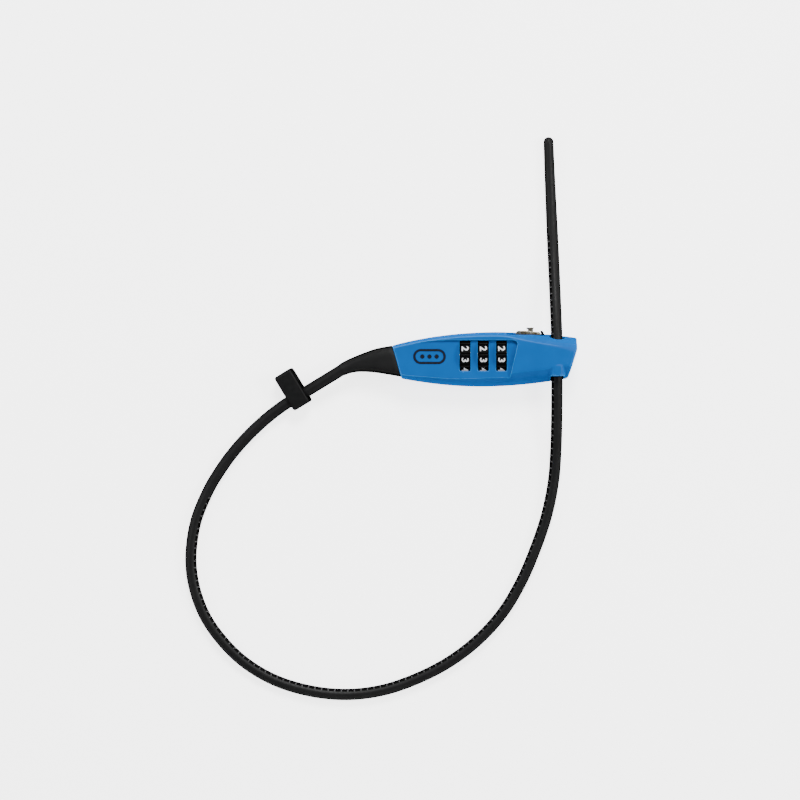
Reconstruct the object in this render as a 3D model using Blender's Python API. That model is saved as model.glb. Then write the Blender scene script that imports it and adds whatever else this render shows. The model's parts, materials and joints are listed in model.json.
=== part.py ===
"""A three-dial combination lock with a looping toothed strap.

The lock lies on its back. +X runs along the body from the boot to the head, +Y is the side with
the release button, and +Z comes out of the dial face. The origin is on the back cover's outer
face, under the middle dial. The dials turn on a line along X at y = 0.
"""

import math

import bmesh
import bpy
from mathutils import Matrix, Vector

MM = 0.001

# Clearances
TOUCH_GAP = 0.3 * MM  # between pieces that rest on or fit round each other
SLIDE_GAP = 0.25 * MM  # round pieces that slide or turn
NOTCH_GAP = 0.1 * MM  # beside the comb's forks, in the grooves of the rings

# Number dials
DIAL_COUNT = 3
DIAL_PITCH = 6.9 * MM
DIAL_RADIUS = 7.1 * MM
DIAL_WIDTH = 3.6 * MM
DIAL_SIDE_GAP = 0.2 * MM
DIAL_PROUD = 2.5 * MM  # how far a dial stands out of the panel
DIAL_POSITIONS = 10
DIGIT_TURN = math.radians(15)  # from the middle of the window to the digit below it
GRIP_DEPTH = 0.35 * MM
GRIP_WIDTH = 0.9 * MM
DIAL_KEYWAY_DEPTH = 0.7 * MM
DIAL_KEYWAY_WIDTH = 1.5 * MM
DIAL_KEYWAY_LENGTH = 1.2 * MM
DIAL_COUNTERBORE_RADIUS = 5.7 * MM

# Code rings
RING_FLANGE_RADIUS = 4.4 * MM
RING_FLANGE_WIDTH = 1.0 * MM
RING_SLEEVE_RADIUS = 3.4 * MM
RING_SHOULDER = 0.25 * MM  # of the sleeve beyond the fork's groove
RING_GROOVE_DEPTH = 0.45 * MM
RING_KEY_HEIGHT = 0.7 * MM
RING_KEY_WIDTH = 1.0 * MM
GATE_WIDTH = 0.8 * MM  # thickness of the inner wall that stops the spindle's lug

# Locking spindle
SPINDLE_RADIUS = 1.2 * MM
LUG_REACH = 2.2 * MM
LUG_WIDTH = 1.4 * MM
LUG_LENGTH = 0.8 * MM
GUIDE_RADIUS = 0.7 * MM
GUIDE_LENGTH = 3.0 * MM
SPINDLE_SPRING_LENGTH = 6.4 * MM
SPINDLE_SPRING_RADIUS = 1.6 * MM
SPRING_WIRE_RADIUS = 0.2 * MM
SPINDLE_PIN_RADIUS = 0.45 * MM

# Travels
PAWL_TRAVEL = 1.2 * MM
RESET_TRAVEL = 1.3 * MM

# Reset comb
COMB_SPINE_THICKNESS = 0.5 * MM
COMB_SPINE_WIDTH = 4.0 * MM
FORK_THICKNESS = 0.4 * MM
FORK_WIDTH = 5.6 * MM
RESET_TAB_LENGTH = 3.0 * MM
RESET_TAB_WIDTH = 2.4 * MM
RESET_SPRING_RADIUS = 0.8 * MM
RESET_SPRING_LENGTH = 4.6 * MM
RESET_WIRE_RADIUS = 0.15 * MM

# Dial click spring
CLICK_LEAF_THICKNESS = 0.3 * MM
CLICK_LEAF_WIDTH = 1.6 * MM

# Strap, its anchor and its channel through the head
STRAP_DIAMETER = 4.3 * MM
STRAP_CHANNEL_GAP = 0.45 * MM
STRAP_FROM_LAST_DIAL = 21.2 * MM
CORE_DIAMETER = 2.0 * MM
FERRULE_DIAMETER = 5.0 * MM
FERRULE_LENGTH = 7.0 * MM
EXIT_BOSS_WALL = 0.8 * MM

# Release carriage, pawl and button, measured from the strap's axis
PAWL_HEAD_LENGTH = 3.55 * MM
PAWL_HEAD_HALF_WIDTH = 2.6 * MM
PAWL_HEAD_HALF_HEIGHT = 2.0 * MM
PAWL_STEM_RADIUS = 0.9 * MM
PAWL_STEM_LENGTH = 2.9 * MM
PAWL_SPRING_RADIUS = 1.65 * MM
CARRIAGE_LENGTH = 5.6 * MM
CARRIAGE_LOW_Y = -3.0 * MM
CARRIAGE_HIGH_Y = 4.6 * MM
CARRIAGE_LOW = 3.4 * MM  # below the dial axis
CARRIAGE_HIGH = 2.6 * MM  # above it
HOOK_ARM_THICKNESS = 0.8 * MM
HOOK_DEPTH = 0.9 * MM
HOOK_WIDTH = 2.0 * MM
BUTTON_LENGTH = 10.8 * MM
BUTTON_WIDTH = 6.2 * MM
BUTTON_THICKNESS = 0.9 * MM
BUTTON_BELOW_AXIS = 2.1 * MM
THUMB_RIB_HEIGHT = 1.45 * MM
THUMB_RIB_LENGTH = 2.5 * MM
STEM_LENGTH = 2.8 * MM
STEM_WIDTH = 2.0 * MM

# Body
BODY_LENGTH = 67.75 * MM  # along the dial axis
HEAD_NOSE = 6.15 * MM  # from the strap's axis to the right end
COVER_THICKNESS = 1.5 * MM
TOP_WALL = 1.3 * MM  # between the dials' wells and the button side
BOTTOM_WALL = 4.2 * MM  # the same on the other side, which holds the click spring
RIM_WALL = 1.3 * MM  # round the back cover
END_WALL = 1.6 * MM  # between the anchor's pocket and the boot
LEFT_SLANT = -0.287
RIGHT_SLANT = 0.307
LEFT_END_TOP = 3.4 * MM
LEFT_END_BOTTOM = -8.2 * MM
RIGHT_END_TOP = 6.2 * MM
RIGHT_END_BOTTOM = -8.3 * MM
RIM_HEIGHT = 1.7 * MM  # of the head above the recessed panel
PANEL_TOP_Y = 5.6 * MM
RIVET_RADIUS = 0.8 * MM
RIVET_HEAD_RADIUS = 1.5 * MM
RIVET_LENGTH = 3.6 * MM
RIVET_HEAD_THICKNESS = 0.5 * MM

# Boot and keeper clip
BOOT_END_RADIUS = 5.6 * MM
BOOT_MOUTH_RADIUS = 2.65 * MM
CLIP_LENGTH = 14.8 * MM
CLIP_WIDTH = 7.3 * MM
CLIP_HEIGHT = 7.6 * MM
CLIP_BORE_GAP = 0.3 * MM
CLIP_BORE_FROM_END = 4.0 * MM
CLIP_BORE_SPACING = 6.8 * MM
CLIP_CORNER = 0.8 * MM
CLIP_EDGE = 0.4 * MM

# Heights and places that follow from the sizes above
AXIS_Z = DIAL_RADIUS + COVER_THICKNESS + TOUCH_GAP + COMB_SPINE_THICKNESS + TOUCH_GAP
WELL_RADIUS = DIAL_RADIUS + TOUCH_GAP
PANEL_Z = AXIS_Z + DIAL_RADIUS - DIAL_PROUD
HEAD_Z = PANEL_Z + RIM_HEIGHT
BODY_TOP = WELL_RADIUS + TOP_WALL
BODY_BOTTOM = -(WELL_RADIUS + BOTTOM_WALL)
DIAL_X = [(i - (DIAL_COUNT - 1) / 2) * DIAL_PITCH for i in range(DIAL_COUNT)]
STRAP_X = DIAL_X[-1] + STRAP_FROM_LAST_DIAL
STRAP_RADIUS = STRAP_DIAMETER / 2
CHANNEL_RADIUS = STRAP_RADIUS + STRAP_CHANNEL_GAP
BODY_RIGHT = STRAP_X + HEAD_NOSE
BODY_LEFT = BODY_RIGHT - BODY_LENGTH
COVER_TOP = COVER_THICKNESS + TOUCH_GAP
RESET_STOP_TOP = COVER_THICKNESS + 2 * RESET_SPRING_RADIUS + 2 * TOUCH_GAP
RING_START = -DIAL_WIDTH / 2 + 0.1 * MM  # the flange's outer side, from its dial's middle
SLEEVE_BORE_RADIUS = LUG_REACH + SLIDE_GAP
DIAL_BORE_RADIUS = RING_FLANGE_RADIUS + SLIDE_GAP
FORK_OFFSET = DIAL_WIDTH / 2 + 0.55 * MM  # the fork's middle, from its dial's middle
RING_END = FORK_OFFSET + FORK_THICKNESS / 2 + NOTCH_GAP + RING_SHOULDER
LUG_GAP = 0.2 * MM  # between a lug and its ring's gate, shifted for a new code or released
LUG_OFFSET = RING_START + GATE_WIDTH + RESET_TRAVEL + LUG_GAP  # from its dial's middle
RELEASE_TRAVEL = LUG_OFFSET + LUG_LENGTH - RING_START + LUG_GAP
PAWL_FRONT = STRAP_X - STRAP_RADIUS - 0.4 * MM
PAWL_BACK = PAWL_FRONT - PAWL_HEAD_LENGTH
CARRIAGE_RIGHT = PAWL_BACK - PAWL_TRAVEL - 0.4 * MM
CARRIAGE_LEFT = CARRIAGE_RIGHT - CARRIAGE_LENGTH
HOOK_X = CARRIAGE_RIGHT - 2.2 * MM  # the left side of the pawl's hook
SPINDLE_RIGHT = CARRIAGE_LEFT + 2.2 * MM
SPINDLE_HOLE_END = SPINDLE_RIGHT + TOUCH_GAP
PAWL_SPRING_SEAT = SPINDLE_HOLE_END + 0.5 * MM
PIN_X = CARRIAGE_LEFT + 1.1 * MM
SPINDLE_LEFT = DIAL_X[0] - 4.6 * MM
SPRING_BORE_RADIUS = SPINDLE_SPRING_RADIUS + SPRING_WIRE_RADIUS + SLIDE_GAP
CHAMBER_LEFT = CARRIAGE_LEFT - RELEASE_TRAVEL - TOUCH_GAP
SLOT_RADIUS = RING_SLEEVE_RADIUS + TOUCH_GAP
BUTTON_X = CARRIAGE_LEFT + 3.1 * MM
BUTTON_Z = AXIS_Z - BUTTON_BELOW_AXIS
LANDING_Y = BODY_TOP - 0.6 * MM
LEAF_Y = -(WELL_RADIUS + 1.3 * MM)


# ---------------------------------------------------------------- helpers


def material(name, colour, roughness, metallic):
    made = bpy.data.materials.new(name)
    made.use_nodes = True
    shader = made.node_tree.nodes["Principled BSDF"]
    shader.inputs["Base Color"].default_value = (*colour, 1.0)
    shader.inputs["Roughness"].default_value = roughness
    shader.inputs["Metallic"].default_value = metallic
    return made


def empty(name, place, parent=None):
    made = bpy.data.objects.new(name, None)
    made.location = place
    made.parent = parent
    bpy.context.collection.objects.link(made)
    return made


def add_piece(name, mesh, finish, place=(0, 0, 0), parent=None):
    """An object whose origin is at place and whose mesh is given in the lock's own frame."""
    bmesh.ops.recalc_face_normals(mesh, faces=mesh.faces)
    bmesh.ops.translate(mesh, verts=mesh.verts, vec=-Vector(place))
    data = bpy.data.meshes.new(name)
    mesh.to_mesh(data)
    mesh.free()
    data.shade_smooth()
    data.set_sharp_from_angle(angle=math.radians(35))
    made = bpy.data.objects.new(name, data)
    bpy.context.collection.objects.link(made)
    made.location = Vector(place) - (parent.location if parent else Vector())
    made.parent = parent
    if finish:
        data.materials.append(finish)
    return made


def add_tool(name, mesh):
    """A cutter or a shape to be joined on, which isn't a piece of the lock."""
    made = add_piece(name, mesh, None)
    made.hide_render = True
    made.display_type = "WIRE"
    return made


def boolean(piece, operation, shapes):
    for number, shape in enumerate(shapes):
        title = f"{piece.name}_{operation.lower()}_{number + 1}"
        modifier = piece.modifiers.new(title, "BOOLEAN")
        modifier.operation = operation
        modifier.solver = "EXACT"
        modifier.object = add_tool(title, shape)


def cut(piece, *shapes):
    boolean(piece, "DIFFERENCE", shapes)


def join(piece, *shapes):
    boolean(piece, "UNION", shapes)


def box(x, y, z):
    """A block, each side given as (low, high)."""
    mesh = bmesh.new()
    middle = [(low + high) / 2 for low, high in (x, y, z)]
    sides = [high - low for low, high in (x, y, z)]
    matrix = Matrix.Translation(middle) @ Matrix.Diagonal((*sides, 1))
    bmesh.ops.create_cube(mesh, size=1, matrix=matrix)
    return mesh


def rod(start, end, radius, segments=24):
    """A straight round bar between two points."""
    start, end = Vector(start), Vector(end)
    along = end - start
    mesh = bmesh.new()
    turn = along.to_track_quat("Z", "Y").to_matrix().to_4x4()
    bmesh.ops.create_cone(
        mesh,
        cap_ends=True,
        segments=segments,
        radius1=radius,
        radius2=radius,
        depth=along.length,
        matrix=Matrix.Translation((start + end) / 2) @ turn,
    )
    return mesh


def loft(rings, hollow=False):
    """A skin through rings of points. Its ends are capped, or joined to each other if hollow."""
    mesh = bmesh.new()
    loops = [[mesh.verts.new(point) for point in ring] for ring in rings]
    pairs = list(zip(loops, loops[1:]))
    if hollow:
        pairs.append((loops[-1], loops[0]))
    for near, far in pairs:
        for i, vertex in enumerate(near):
            j = (i + 1) % len(near)
            mesh.faces.new((vertex, near[j], far[j], far[i]))
    if not hollow:
        mesh.faces.new(loops[0])
        mesh.faces.new(loops[-1])
    return mesh


def prism(outline, low, high, axis):
    """An outline extruded from low to high along an axis. Outlines along Z are (x, y) points,
    along Y (x, z) points and along X (y, z) points."""
    places = {
        "X": lambda a, b, height: (height, a, b),
        "Y": lambda a, b, height: (a, height, b),
        "Z": lambda a, b, height: (a, b, height),
    }
    return loft([[places[axis](a, b, height) for a, b in outline] for height in (low, high)])


def turned(profile, x, segments):
    """A solid of revolution about the dial axis from a closed profile of (x, radius) points."""
    rings = []
    for step in range(segments):
        angle = 2 * math.pi * step / segments
        rings.append(
            [
                (x + along, radius * math.sin(angle), AXIS_Z + radius * math.cos(angle))
                for along, radius in profile
            ]
        )
    return loft(rings, hollow=True)


def about_axis(mesh, angle):
    """Turns a mesh about the dial axis."""
    centre = Vector((0, 0, AXIS_Z))
    bmesh.ops.rotate(mesh, verts=mesh.verts, cent=centre, matrix=Matrix.Rotation(angle, 3, "X"))
    return mesh


def wire(name, points, radius, finish, sides, place=(0, 0, 0), parent=None):
    """A round wire or cord: a curve through the points, with filled ends."""
    data = bpy.data.curves.new(name, "CURVE")
    data.dimensions = "3D"
    data.bevel_depth = radius
    data.bevel_resolution = sides
    data.use_fill_caps = True
    spline = data.splines.new("POLY")
    spline.points.add(len(points) - 1)
    for target, point in zip(spline.points, points):
        target.co = (*(Vector(point) - Vector(place)), 1)
    data.materials.append(finish)
    made = bpy.data.objects.new(name, data)
    bpy.context.collection.objects.link(made)
    made.location = Vector(place) - (parent.location if parent else Vector())
    made.parent = parent
    return made


def coil(start, length, radius, turns, steps=8):
    """Points of a compression spring's wire, wound about a line along X from start."""
    count = int(turns * steps)
    points = []
    for i in range(count + 1):
        angle = 2 * math.pi * i / steps
        y = start[1] + radius * math.sin(angle)
        z = start[2] + radius * math.cos(angle)
        points.append((start[0] + length * i / count, y, z))
    return points


def between(knots, x):
    """The height of a broken line through knots at x."""
    if x <= knots[0][0]:
        return knots[0][1]
    for (x0, y0), (x1, y1) in zip(knots, knots[1:]):
        if x <= x1:
            return y0 + (y1 - y0) * (x - x0) / (x1 - x0)
    return knots[-1][1]


def smooth_route(points, spacing):
    """Evenly spaced points on a Catmull-Rom curve through the given ones."""
    points = [Vector(p) for p in points]
    padded = [2 * points[0] - points[1], *points, 2 * points[-1] - points[-2]]
    fine = []
    for a, b, c, d in zip(padded, padded[1:], padded[2:], padded[3:]):
        for step in range(40):
            t = step / 40
            near = 2 * b + (c - a) * t
            far = (2 * a - 5 * b + 4 * c - d) * t**2 + (3 * b - a - 3 * c + d) * t**3
            fine.append((near + far) / 2)
    fine.append(points[-1])
    lengths = [0.0]
    for a, b in zip(fine, fine[1:]):
        lengths.append(lengths[-1] + (b - a).length)
    count = round(lengths[-1] / spacing)
    even, place = [], 0
    for i in range(count + 1):
        wanted = lengths[-1] * i / count
        while place < len(fine) - 2 and lengths[place + 1] < wanted:
            place += 1
        share = (wanted - lengths[place]) / (lengths[place + 1] - lengths[place])
        even.append(fine[place].lerp(fine[place + 1], share))
    return even


# ---------------------------------------------------------------- body


def edge_y(x, crown_x, crown, left_end, right_end):
    """One long edge of the body: a bow that is widest at its crown."""
    end_x, end = (BODY_LEFT, left_end) if x < crown_x else (BODY_RIGHT, right_end)
    return crown - (crown - end) * ((x - crown_x) / (end_x - crown_x)) ** 2


def body_edges(x):
    low = edge_y(x, -0.8 * MM, BODY_BOTTOM, LEFT_END_BOTTOM, RIGHT_END_BOTTOM)
    high = edge_y(x, 5.0 * MM, BODY_TOP, LEFT_END_TOP, RIGHT_END_TOP)
    return low, high


def body_x(x, y):
    """Where a cross-section through x on the dial axis meets the line at y, as the ends slant."""
    share = (x - BODY_LEFT) / BODY_LENGTH
    return x + y * (LEFT_SLANT + (RIGHT_SLANT - LEFT_SLANT) * share)


def body_section(x, inset):
    """The (y, z) outline of the body at x, shrunk by inset for the rounding of the ends."""
    low, high = body_edges(x)
    head_start = DIAL_X[-1] + 2.0 * MM
    lower_crease = between(
        [
            (BODY_LEFT, low + 1.4 * MM),
            (BODY_LEFT + 12 * MM, low + 2.4 * MM),
            (head_start, PANEL_TOP_Y - 13.8 * MM),
            (head_start + 1.6 * MM, -6.8 * MM),
            (STRAP_X - 2.3 * MM, -4.5 * MM),
            (BODY_RIGHT, -4.0 * MM),
        ],
        x,
    )
    upper_crease = between(
        [
            (BODY_LEFT, high - 0.9 * MM),
            (DIAL_X[-1] + 1.0 * MM, high - 1.6 * MM),
            (STRAP_X - 1.8 * MM, 3.7 * MM),
            (BODY_RIGHT, 2.2 * MM),
        ],
        x,
    )
    lower_z = between(
        [
            (head_start, PANEL_Z + 0.15 * MM),
            (head_start + 2.2 * MM, HEAD_Z),
            (STRAP_X, HEAD_Z),
            (BODY_RIGHT, HEAD_Z - 0.7 * MM),
        ],
        x,
    )
    upper_z = between(
        [
            (BODY_LEFT, PANEL_Z + 0.3 * MM),
            (DIAL_X[0] - 5 * MM, HEAD_Z - 0.4 * MM),
            (DIAL_X[-1], HEAD_Z),
            (STRAP_X, HEAD_Z),
            (BODY_RIGHT, HEAD_Z - 0.7 * MM),
        ],
        x,
    )
    below, above = lower_crease - low, high - upper_crease
    waist = AXIS_Z - 1.2 * MM
    outline = [
        (low + 1.3 * MM, 0),
        (low + 0.35 * MM, 0.45 * MM),
        (low, 1.6 * MM),
        (low, waist),
        (low + 0.28 * below, waist + 0.5 * (lower_z - waist)),
        (low + 0.62 * below, waist + 0.82 * (lower_z - waist)),
        (lower_crease, lower_z),
        (upper_crease, upper_z),
        (high - 0.6 * above, waist + 0.84 * (upper_z - waist)),
        (high - 0.22 * above, waist + 0.5 * (upper_z - waist)),
        (high, waist),
        (high, 1.6 * MM),
        (high - 0.35 * MM, 0.45 * MM),
        (high - 1.3 * MM, 0),
    ]
    middle_y, middle_z = (low + high) / 2, upper_z / 2
    shrink_y = 1 - 2 * inset / (high - low)
    shrink_z = 1 - 2 * inset / upper_z
    return [
        (middle_y + (y - middle_y) * shrink_y, middle_z + (z - middle_z) * shrink_z)
        for y, z in outline
    ]


def body_shell():
    head_start = DIAL_X[-1] + 2.0 * MM
    stations = [(BODY_LEFT, 0.9 * MM), (BODY_LEFT + 0.35 * MM, 0.3 * MM), (BODY_LEFT + 1.1 * MM, 0)]
    plain_steps = 5
    start = stations[-1][0]
    for i in range(1, plain_steps + 1):
        stations.append((start + (head_start - start) * i / plain_steps, 0))
    stations += [(head_start + 2.2 * MM, 0), ((head_start + STRAP_X) / 2, 0), (STRAP_X - 2 * MM, 0)]
    stations += [(BODY_RIGHT - 2.2 * MM, 0), (BODY_RIGHT - 0.7 * MM, 0.5 * MM)]
    stations += [(BODY_RIGHT, 1.5 * MM)]
    rings = []
    for x, inset in stations:
        rings.append([(body_x(x, y), y, z) for y, z in body_section(x, inset)])
    return loft(rings)


def panel_outline():
    """The recessed panel seen from above. It runs out over the left end and the lower side."""
    right = DIAL_X[-1] + 6.0 * MM
    corner = 1.6 * MM
    lean = 0.237
    points = []
    for from_left, fall in ((-8, 3.4), (6.5, 1.2), (11, 0.6), (21, 0)):
        points.append((BODY_LEFT + from_left * MM, PANEL_TOP_Y - fall * MM))
    for step in range(5):
        angle = math.radians(90 - 20 * step)
        x = right - corner + corner * math.cos(angle)
        points.append((x, PANEL_TOP_Y - corner + corner * math.sin(angle)))
    lowest = BODY_BOTTOM - 5 * MM
    points.append((right - lean * (PANEL_TOP_Y - corner - lowest), lowest))
    points.append((BODY_LEFT - 8 * MM, lowest))
    return points


def cover_outline(inset):
    """The back cover's outline, inset from the body's own edge."""
    lower, upper = [], []
    left, right = BODY_LEFT + inset, BODY_RIGHT - inset
    steps = 8
    for i in range(steps + 1):
        x = left + (right - left) * i / steps
        low, high = body_edges(x)
        corner = 0.6 * MM if i in (0, steps) else 0
        lower.append((body_x(x, low + inset + corner), low + inset + corner))
        upper.append((body_x(x, high - inset - corner), high - inset - corner))
    return lower + upper[::-1]


def rivet_places():
    left, right = DIAL_X[0] - 15.0 * MM, STRAP_X - 0.2 * MM
    low, high = -5.6 * MM, 3.0 * MM
    return [(left, low), (left, high), (right, low), (right, high)]


def ferrule_axis():
    """The anchor's middle and its direction out of the left end, square to the slanted face."""
    outward = Vector((-1, LEFT_SLANT, 0)).normalized()
    face = Vector((BODY_LEFT - LEFT_SLANT * 2.36 * MM, -2.36 * MM, AXIS_Z - 1.9 * MM))
    return face, outward


def front_housing(finish):
    piece = add_piece("front_housing", body_shell(), finish)
    boss_end, boss_radius = -8.0 * MM, CHANNEL_RADIUS + EXIT_BOSS_WALL
    join(piece, rod((STRAP_X, boss_end, AXIS_Z), (STRAP_X, 1 * MM, AXIS_Z), boss_radius, 32))
    cuts = [prism(panel_outline(), PANEL_Z, HEAD_Z + 5 * MM, "Z")]
    cuts.append(prism(cover_outline(RIM_WALL), -1 * MM, COVER_TOP, "Z"))
    half_well = DIAL_WIDTH / 2 + DIAL_SIDE_GAP
    for x in DIAL_X:
        cuts.append(rod((x - half_well, 0, AXIS_Z), (x + half_well, 0, AXIS_Z), WELL_RADIUS, 48))

    # the slot that takes rings, spindle and comb from the back, with a round roof
    slot_left, slot_right = SPINDLE_LEFT - 0.9 * MM, CHAMBER_LEFT + 0.5 * MM
    roof = [(SLOT_RADIUS, COVER_TOP - 0.5 * MM)]
    for step in range(13):
        angle = math.pi * step / 12
        roof.append((SLOT_RADIUS * math.cos(angle), AXIS_Z + SLOT_RADIUS * math.sin(angle)))
    roof.append((-SLOT_RADIUS, COVER_TOP - 0.5 * MM))
    cuts.append(prism(roof, slot_left, slot_right, "X"))
    spring_end = SPINDLE_LEFT - SPINDLE_SPRING_LENGTH - 2 * TOUCH_GAP
    cuts.append(rod((spring_end, 0, AXIS_Z), (slot_left + 1 * MM, 0, AXIS_Z), SPRING_BORE_RADIUS))

    # the comb's tail and the release mechanism
    half_spine = COMB_SPINE_WIDTH / 2 + TOUCH_GAP
    tail = comb_tail()
    comb_room = (COVER_TOP - 0.5 * MM, COVER_TOP + COMB_SPINE_THICKNESS + TOUCH_GAP)
    cuts.append(box((tail - TOUCH_GAP, slot_left + 1 * MM), (-half_spine, half_spine), comb_room))
    chamber_right = PAWL_BACK + 2.0 * MM
    chamber_y = (CARRIAGE_LOW_Y - TOUCH_GAP, CARRIAGE_HIGH_Y + TOUCH_GAP)
    chamber_z = (COVER_TOP - 0.5 * MM, AXIS_Z + CARRIAGE_HIGH + TOUCH_GAP)
    cuts.append(box((CHAMBER_LEFT, chamber_right), chamber_y, chamber_z))
    guide_y, guide_z = PAWL_HEAD_HALF_WIDTH + TOUCH_GAP, PAWL_HEAD_HALF_HEIGHT + TOUCH_GAP
    guide_x = (chamber_right - 0.5 * MM, STRAP_X)
    cuts.append(box(guide_x, (-guide_y, guide_y), (AXIS_Z - guide_z, AXIS_Z + guide_z)))

    # the strap's channel, open above its lower mouth
    above, below = BODY_TOP + 4 * MM, BODY_BOTTOM - 4 * MM
    cuts.append(rod((STRAP_X, below, AXIS_Z), (STRAP_X, above, AXIS_Z), CHANNEL_RADIUS, 32))
    half_mouth = CHANNEL_RADIUS - 0.1 * MM
    mouth_x = (STRAP_X - half_mouth, STRAP_X + half_mouth)
    cuts.append(box(mouth_x, (below, boss_end), (AXIS_Z, HEAD_Z + 4 * MM)))

    # the button's landing and the slot for its stem
    half_plate = BUTTON_LENGTH / 2 + TOUCH_GAP
    landing_x = (BUTTON_X - half_plate - RELEASE_TRAVEL, BUTTON_X + half_plate)
    half_button = BUTTON_WIDTH / 2 + TOUCH_GAP
    landing_z = (BUTTON_Z - half_button, BUTTON_Z + half_button)
    cuts.append(box(landing_x, (LANDING_Y, above), landing_z))
    half_stem, half_stem_z = STEM_LENGTH / 2 + TOUCH_GAP, STEM_WIDTH / 2 + TOUCH_GAP
    stem_x = (BUTTON_X - half_stem - RELEASE_TRAVEL, BUTTON_X + half_stem)
    stem_z = (BUTTON_Z - half_stem_z, BUTTON_Z + half_stem_z)
    cuts.append(box(stem_x, (CARRIAGE_HIGH_Y, above), stem_z))

    # the click spring's pocket, and a window from it into each dial's well
    half_leaf = CLICK_LEAF_WIDTH / 2 + TOUCH_GAP
    leaf_z = (AXIS_Z - half_leaf, AXIS_Z + half_leaf)
    leaf_end = DIAL_X[-1] + half_well + TOUCH_GAP
    pocket_y = (LEAF_Y - CLICK_LEAF_THICKNESS - TOUCH_GAP, LEAF_Y + TOUCH_GAP)
    cuts.append(box((-leaf_end, leaf_end), pocket_y, (COVER_TOP - 0.5 * MM, leaf_z[1])))
    for x in DIAL_X:
        window_y = (LEAF_Y, -WELL_RADIUS + 0.6 * MM)
        cuts.append(box((x - half_well, x + half_well), window_y, leaf_z))

    # the anchor's pocket, open to the back, and the hole for the core
    face, outward = ferrule_axis()
    near = face - outward * END_WALL
    far = near - outward * (FERRULE_LENGTH + 2 * TOUCH_GAP)
    pocket_radius = FERRULE_DIAMETER / 2 + TOUCH_GAP
    cuts.append(rod(near, far, pocket_radius, 24))
    overlap = 0.1 * MM
    side = Vector((-outward.y, outward.x, 0)) * (pocket_radius - overlap)
    front, back = near + outward * overlap, far - outward * overlap
    corners = [front + side, front - side, back - side, back + side]
    cuts.append(prism([(p.x, p.y) for p in corners], COVER_TOP - 0.5 * MM, face.z, "Z"))
    core_radius = CORE_DIAMETER / 2 + TOUCH_GAP
    cuts.append(rod(near - outward * 1 * MM, face + outward * 3 * MM, core_radius, 16))

    for x, y in rivet_places():
        depth = COVER_TOP - 0.5 * MM, RIVET_LENGTH + 2 * TOUCH_GAP
        cuts.append(rod((x, y, depth[0]), (x, y, depth[1]), RIVET_RADIUS + TOUCH_GAP, 16))
    cut(piece, *cuts)
    return piece


def comb_tail():
    """The left end of the reset comb's spine."""
    return SPINDLE_LEFT - 5.5 * MM


def back_cover(finish):
    outline = cover_outline(RIM_WALL + TOUCH_GAP)
    piece = add_piece("back_cover", prism(outline, 0, COVER_THICKNESS, "Z"), finish)
    rib_left = comb_right() + RESET_SPRING_LENGTH + 2 * TOUCH_GAP
    rib_x, rib_y = (rib_left, rib_left + 0.7 * MM), (-1.2 * MM, 1.2 * MM)
    join(piece, box(rib_x, rib_y, (COVER_THICKNESS / 2, RESET_STOP_TOP)))
    cuts = []
    tab_left = comb_tail() + 0.6 * MM
    slot_x = (tab_left - TOUCH_GAP, tab_left + RESET_TAB_LENGTH + RESET_TRAVEL + TOUCH_GAP)
    slot_y = RESET_TAB_WIDTH / 2 + TOUCH_GAP
    cuts.append(box(slot_x, (-slot_y, slot_y), (-1 * MM, COVER_THICKNESS + 1 * MM)))
    for x, y in rivet_places():
        hole = (x, y, -1 * MM), (x, y, COVER_THICKNESS + 1 * MM)
        cuts.append(rod(*hole, RIVET_RADIUS + TOUCH_GAP, 12))
        sink = (x, y, -1 * MM), (x, y, RIVET_HEAD_THICKNESS + 2 * TOUCH_GAP)
        cuts.append(rod(*sink, RIVET_HEAD_RADIUS + TOUCH_GAP, 16))
    cut(piece, *cuts)
    return piece


def cover_rivet(number, x, y, finish):
    low = 0.1 * MM
    neck = low + RIVET_HEAD_THICKNESS
    profile = [(0, low), (RIVET_HEAD_RADIUS - 0.3 * MM, low), (RIVET_HEAD_RADIUS, neck)]
    profile += [(RIVET_RADIUS, neck), (RIVET_RADIUS, RIVET_LENGTH)]
    rings = []
    for radius, z in profile[1:]:
        rings.append(
            [
                (x + radius * math.cos(a), y + radius * math.sin(a), z)
                for a in (2 * math.pi * step / 16 for step in range(16))
            ]
        )
    return add_piece(f"cover_rivet_{number}", loft(rings), finish, (x, y, 0))


# ---------------------------------------------------------------- dials, rings and spindle


def number_dial(number, x, finish):
    half, edge = DIAL_WIDTH / 2, 0.25 * MM
    bore, wide = DIAL_BORE_RADIUS, DIAL_COUNTERBORE_RADIUS
    keyway_end = -half + DIAL_KEYWAY_LENGTH
    profile = [(-half, bore), (-half, DIAL_RADIUS - edge), (-half + edge, DIAL_RADIUS)]
    profile += [(half - edge, DIAL_RADIUS), (half, DIAL_RADIUS - edge), (half, wide)]
    profile += [(keyway_end, wide), (keyway_end, bore)]
    piece = add_piece(f"number_dial_{number}", turned(profile, x, 40), finish, (x, 0, AXIS_Z))
    cuts = []
    for step in range(DIAL_POSITIONS):
        angle = 2 * math.pi * step / DIAL_POSITIONS
        keyway_x = (x - half - 1 * MM, x + keyway_end + 0.1 * MM)
        keyway_y = (-DIAL_KEYWAY_WIDTH / 2, DIAL_KEYWAY_WIDTH / 2)
        keyway_z = (AXIS_Z + bore - 0.5 * MM, AXIS_Z + bore + DIAL_KEYWAY_DEPTH)
        cuts.append(about_axis(box(keyway_x, keyway_y, keyway_z), angle))
        between_digits = angle + DIGIT_TURN + math.pi / DIAL_POSITIONS
        grip = box(
            (x - half - 1 * MM, x + half + 1 * MM),
            (-GRIP_WIDTH / 2, GRIP_WIDTH / 2),
            (AXIS_Z + DIAL_RADIUS - GRIP_DEPTH, AXIS_Z + DIAL_RADIUS + 1 * MM),
        )
        cuts.append(about_axis(grip, between_digits))
    cut(piece, *cuts)
    return piece


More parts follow.
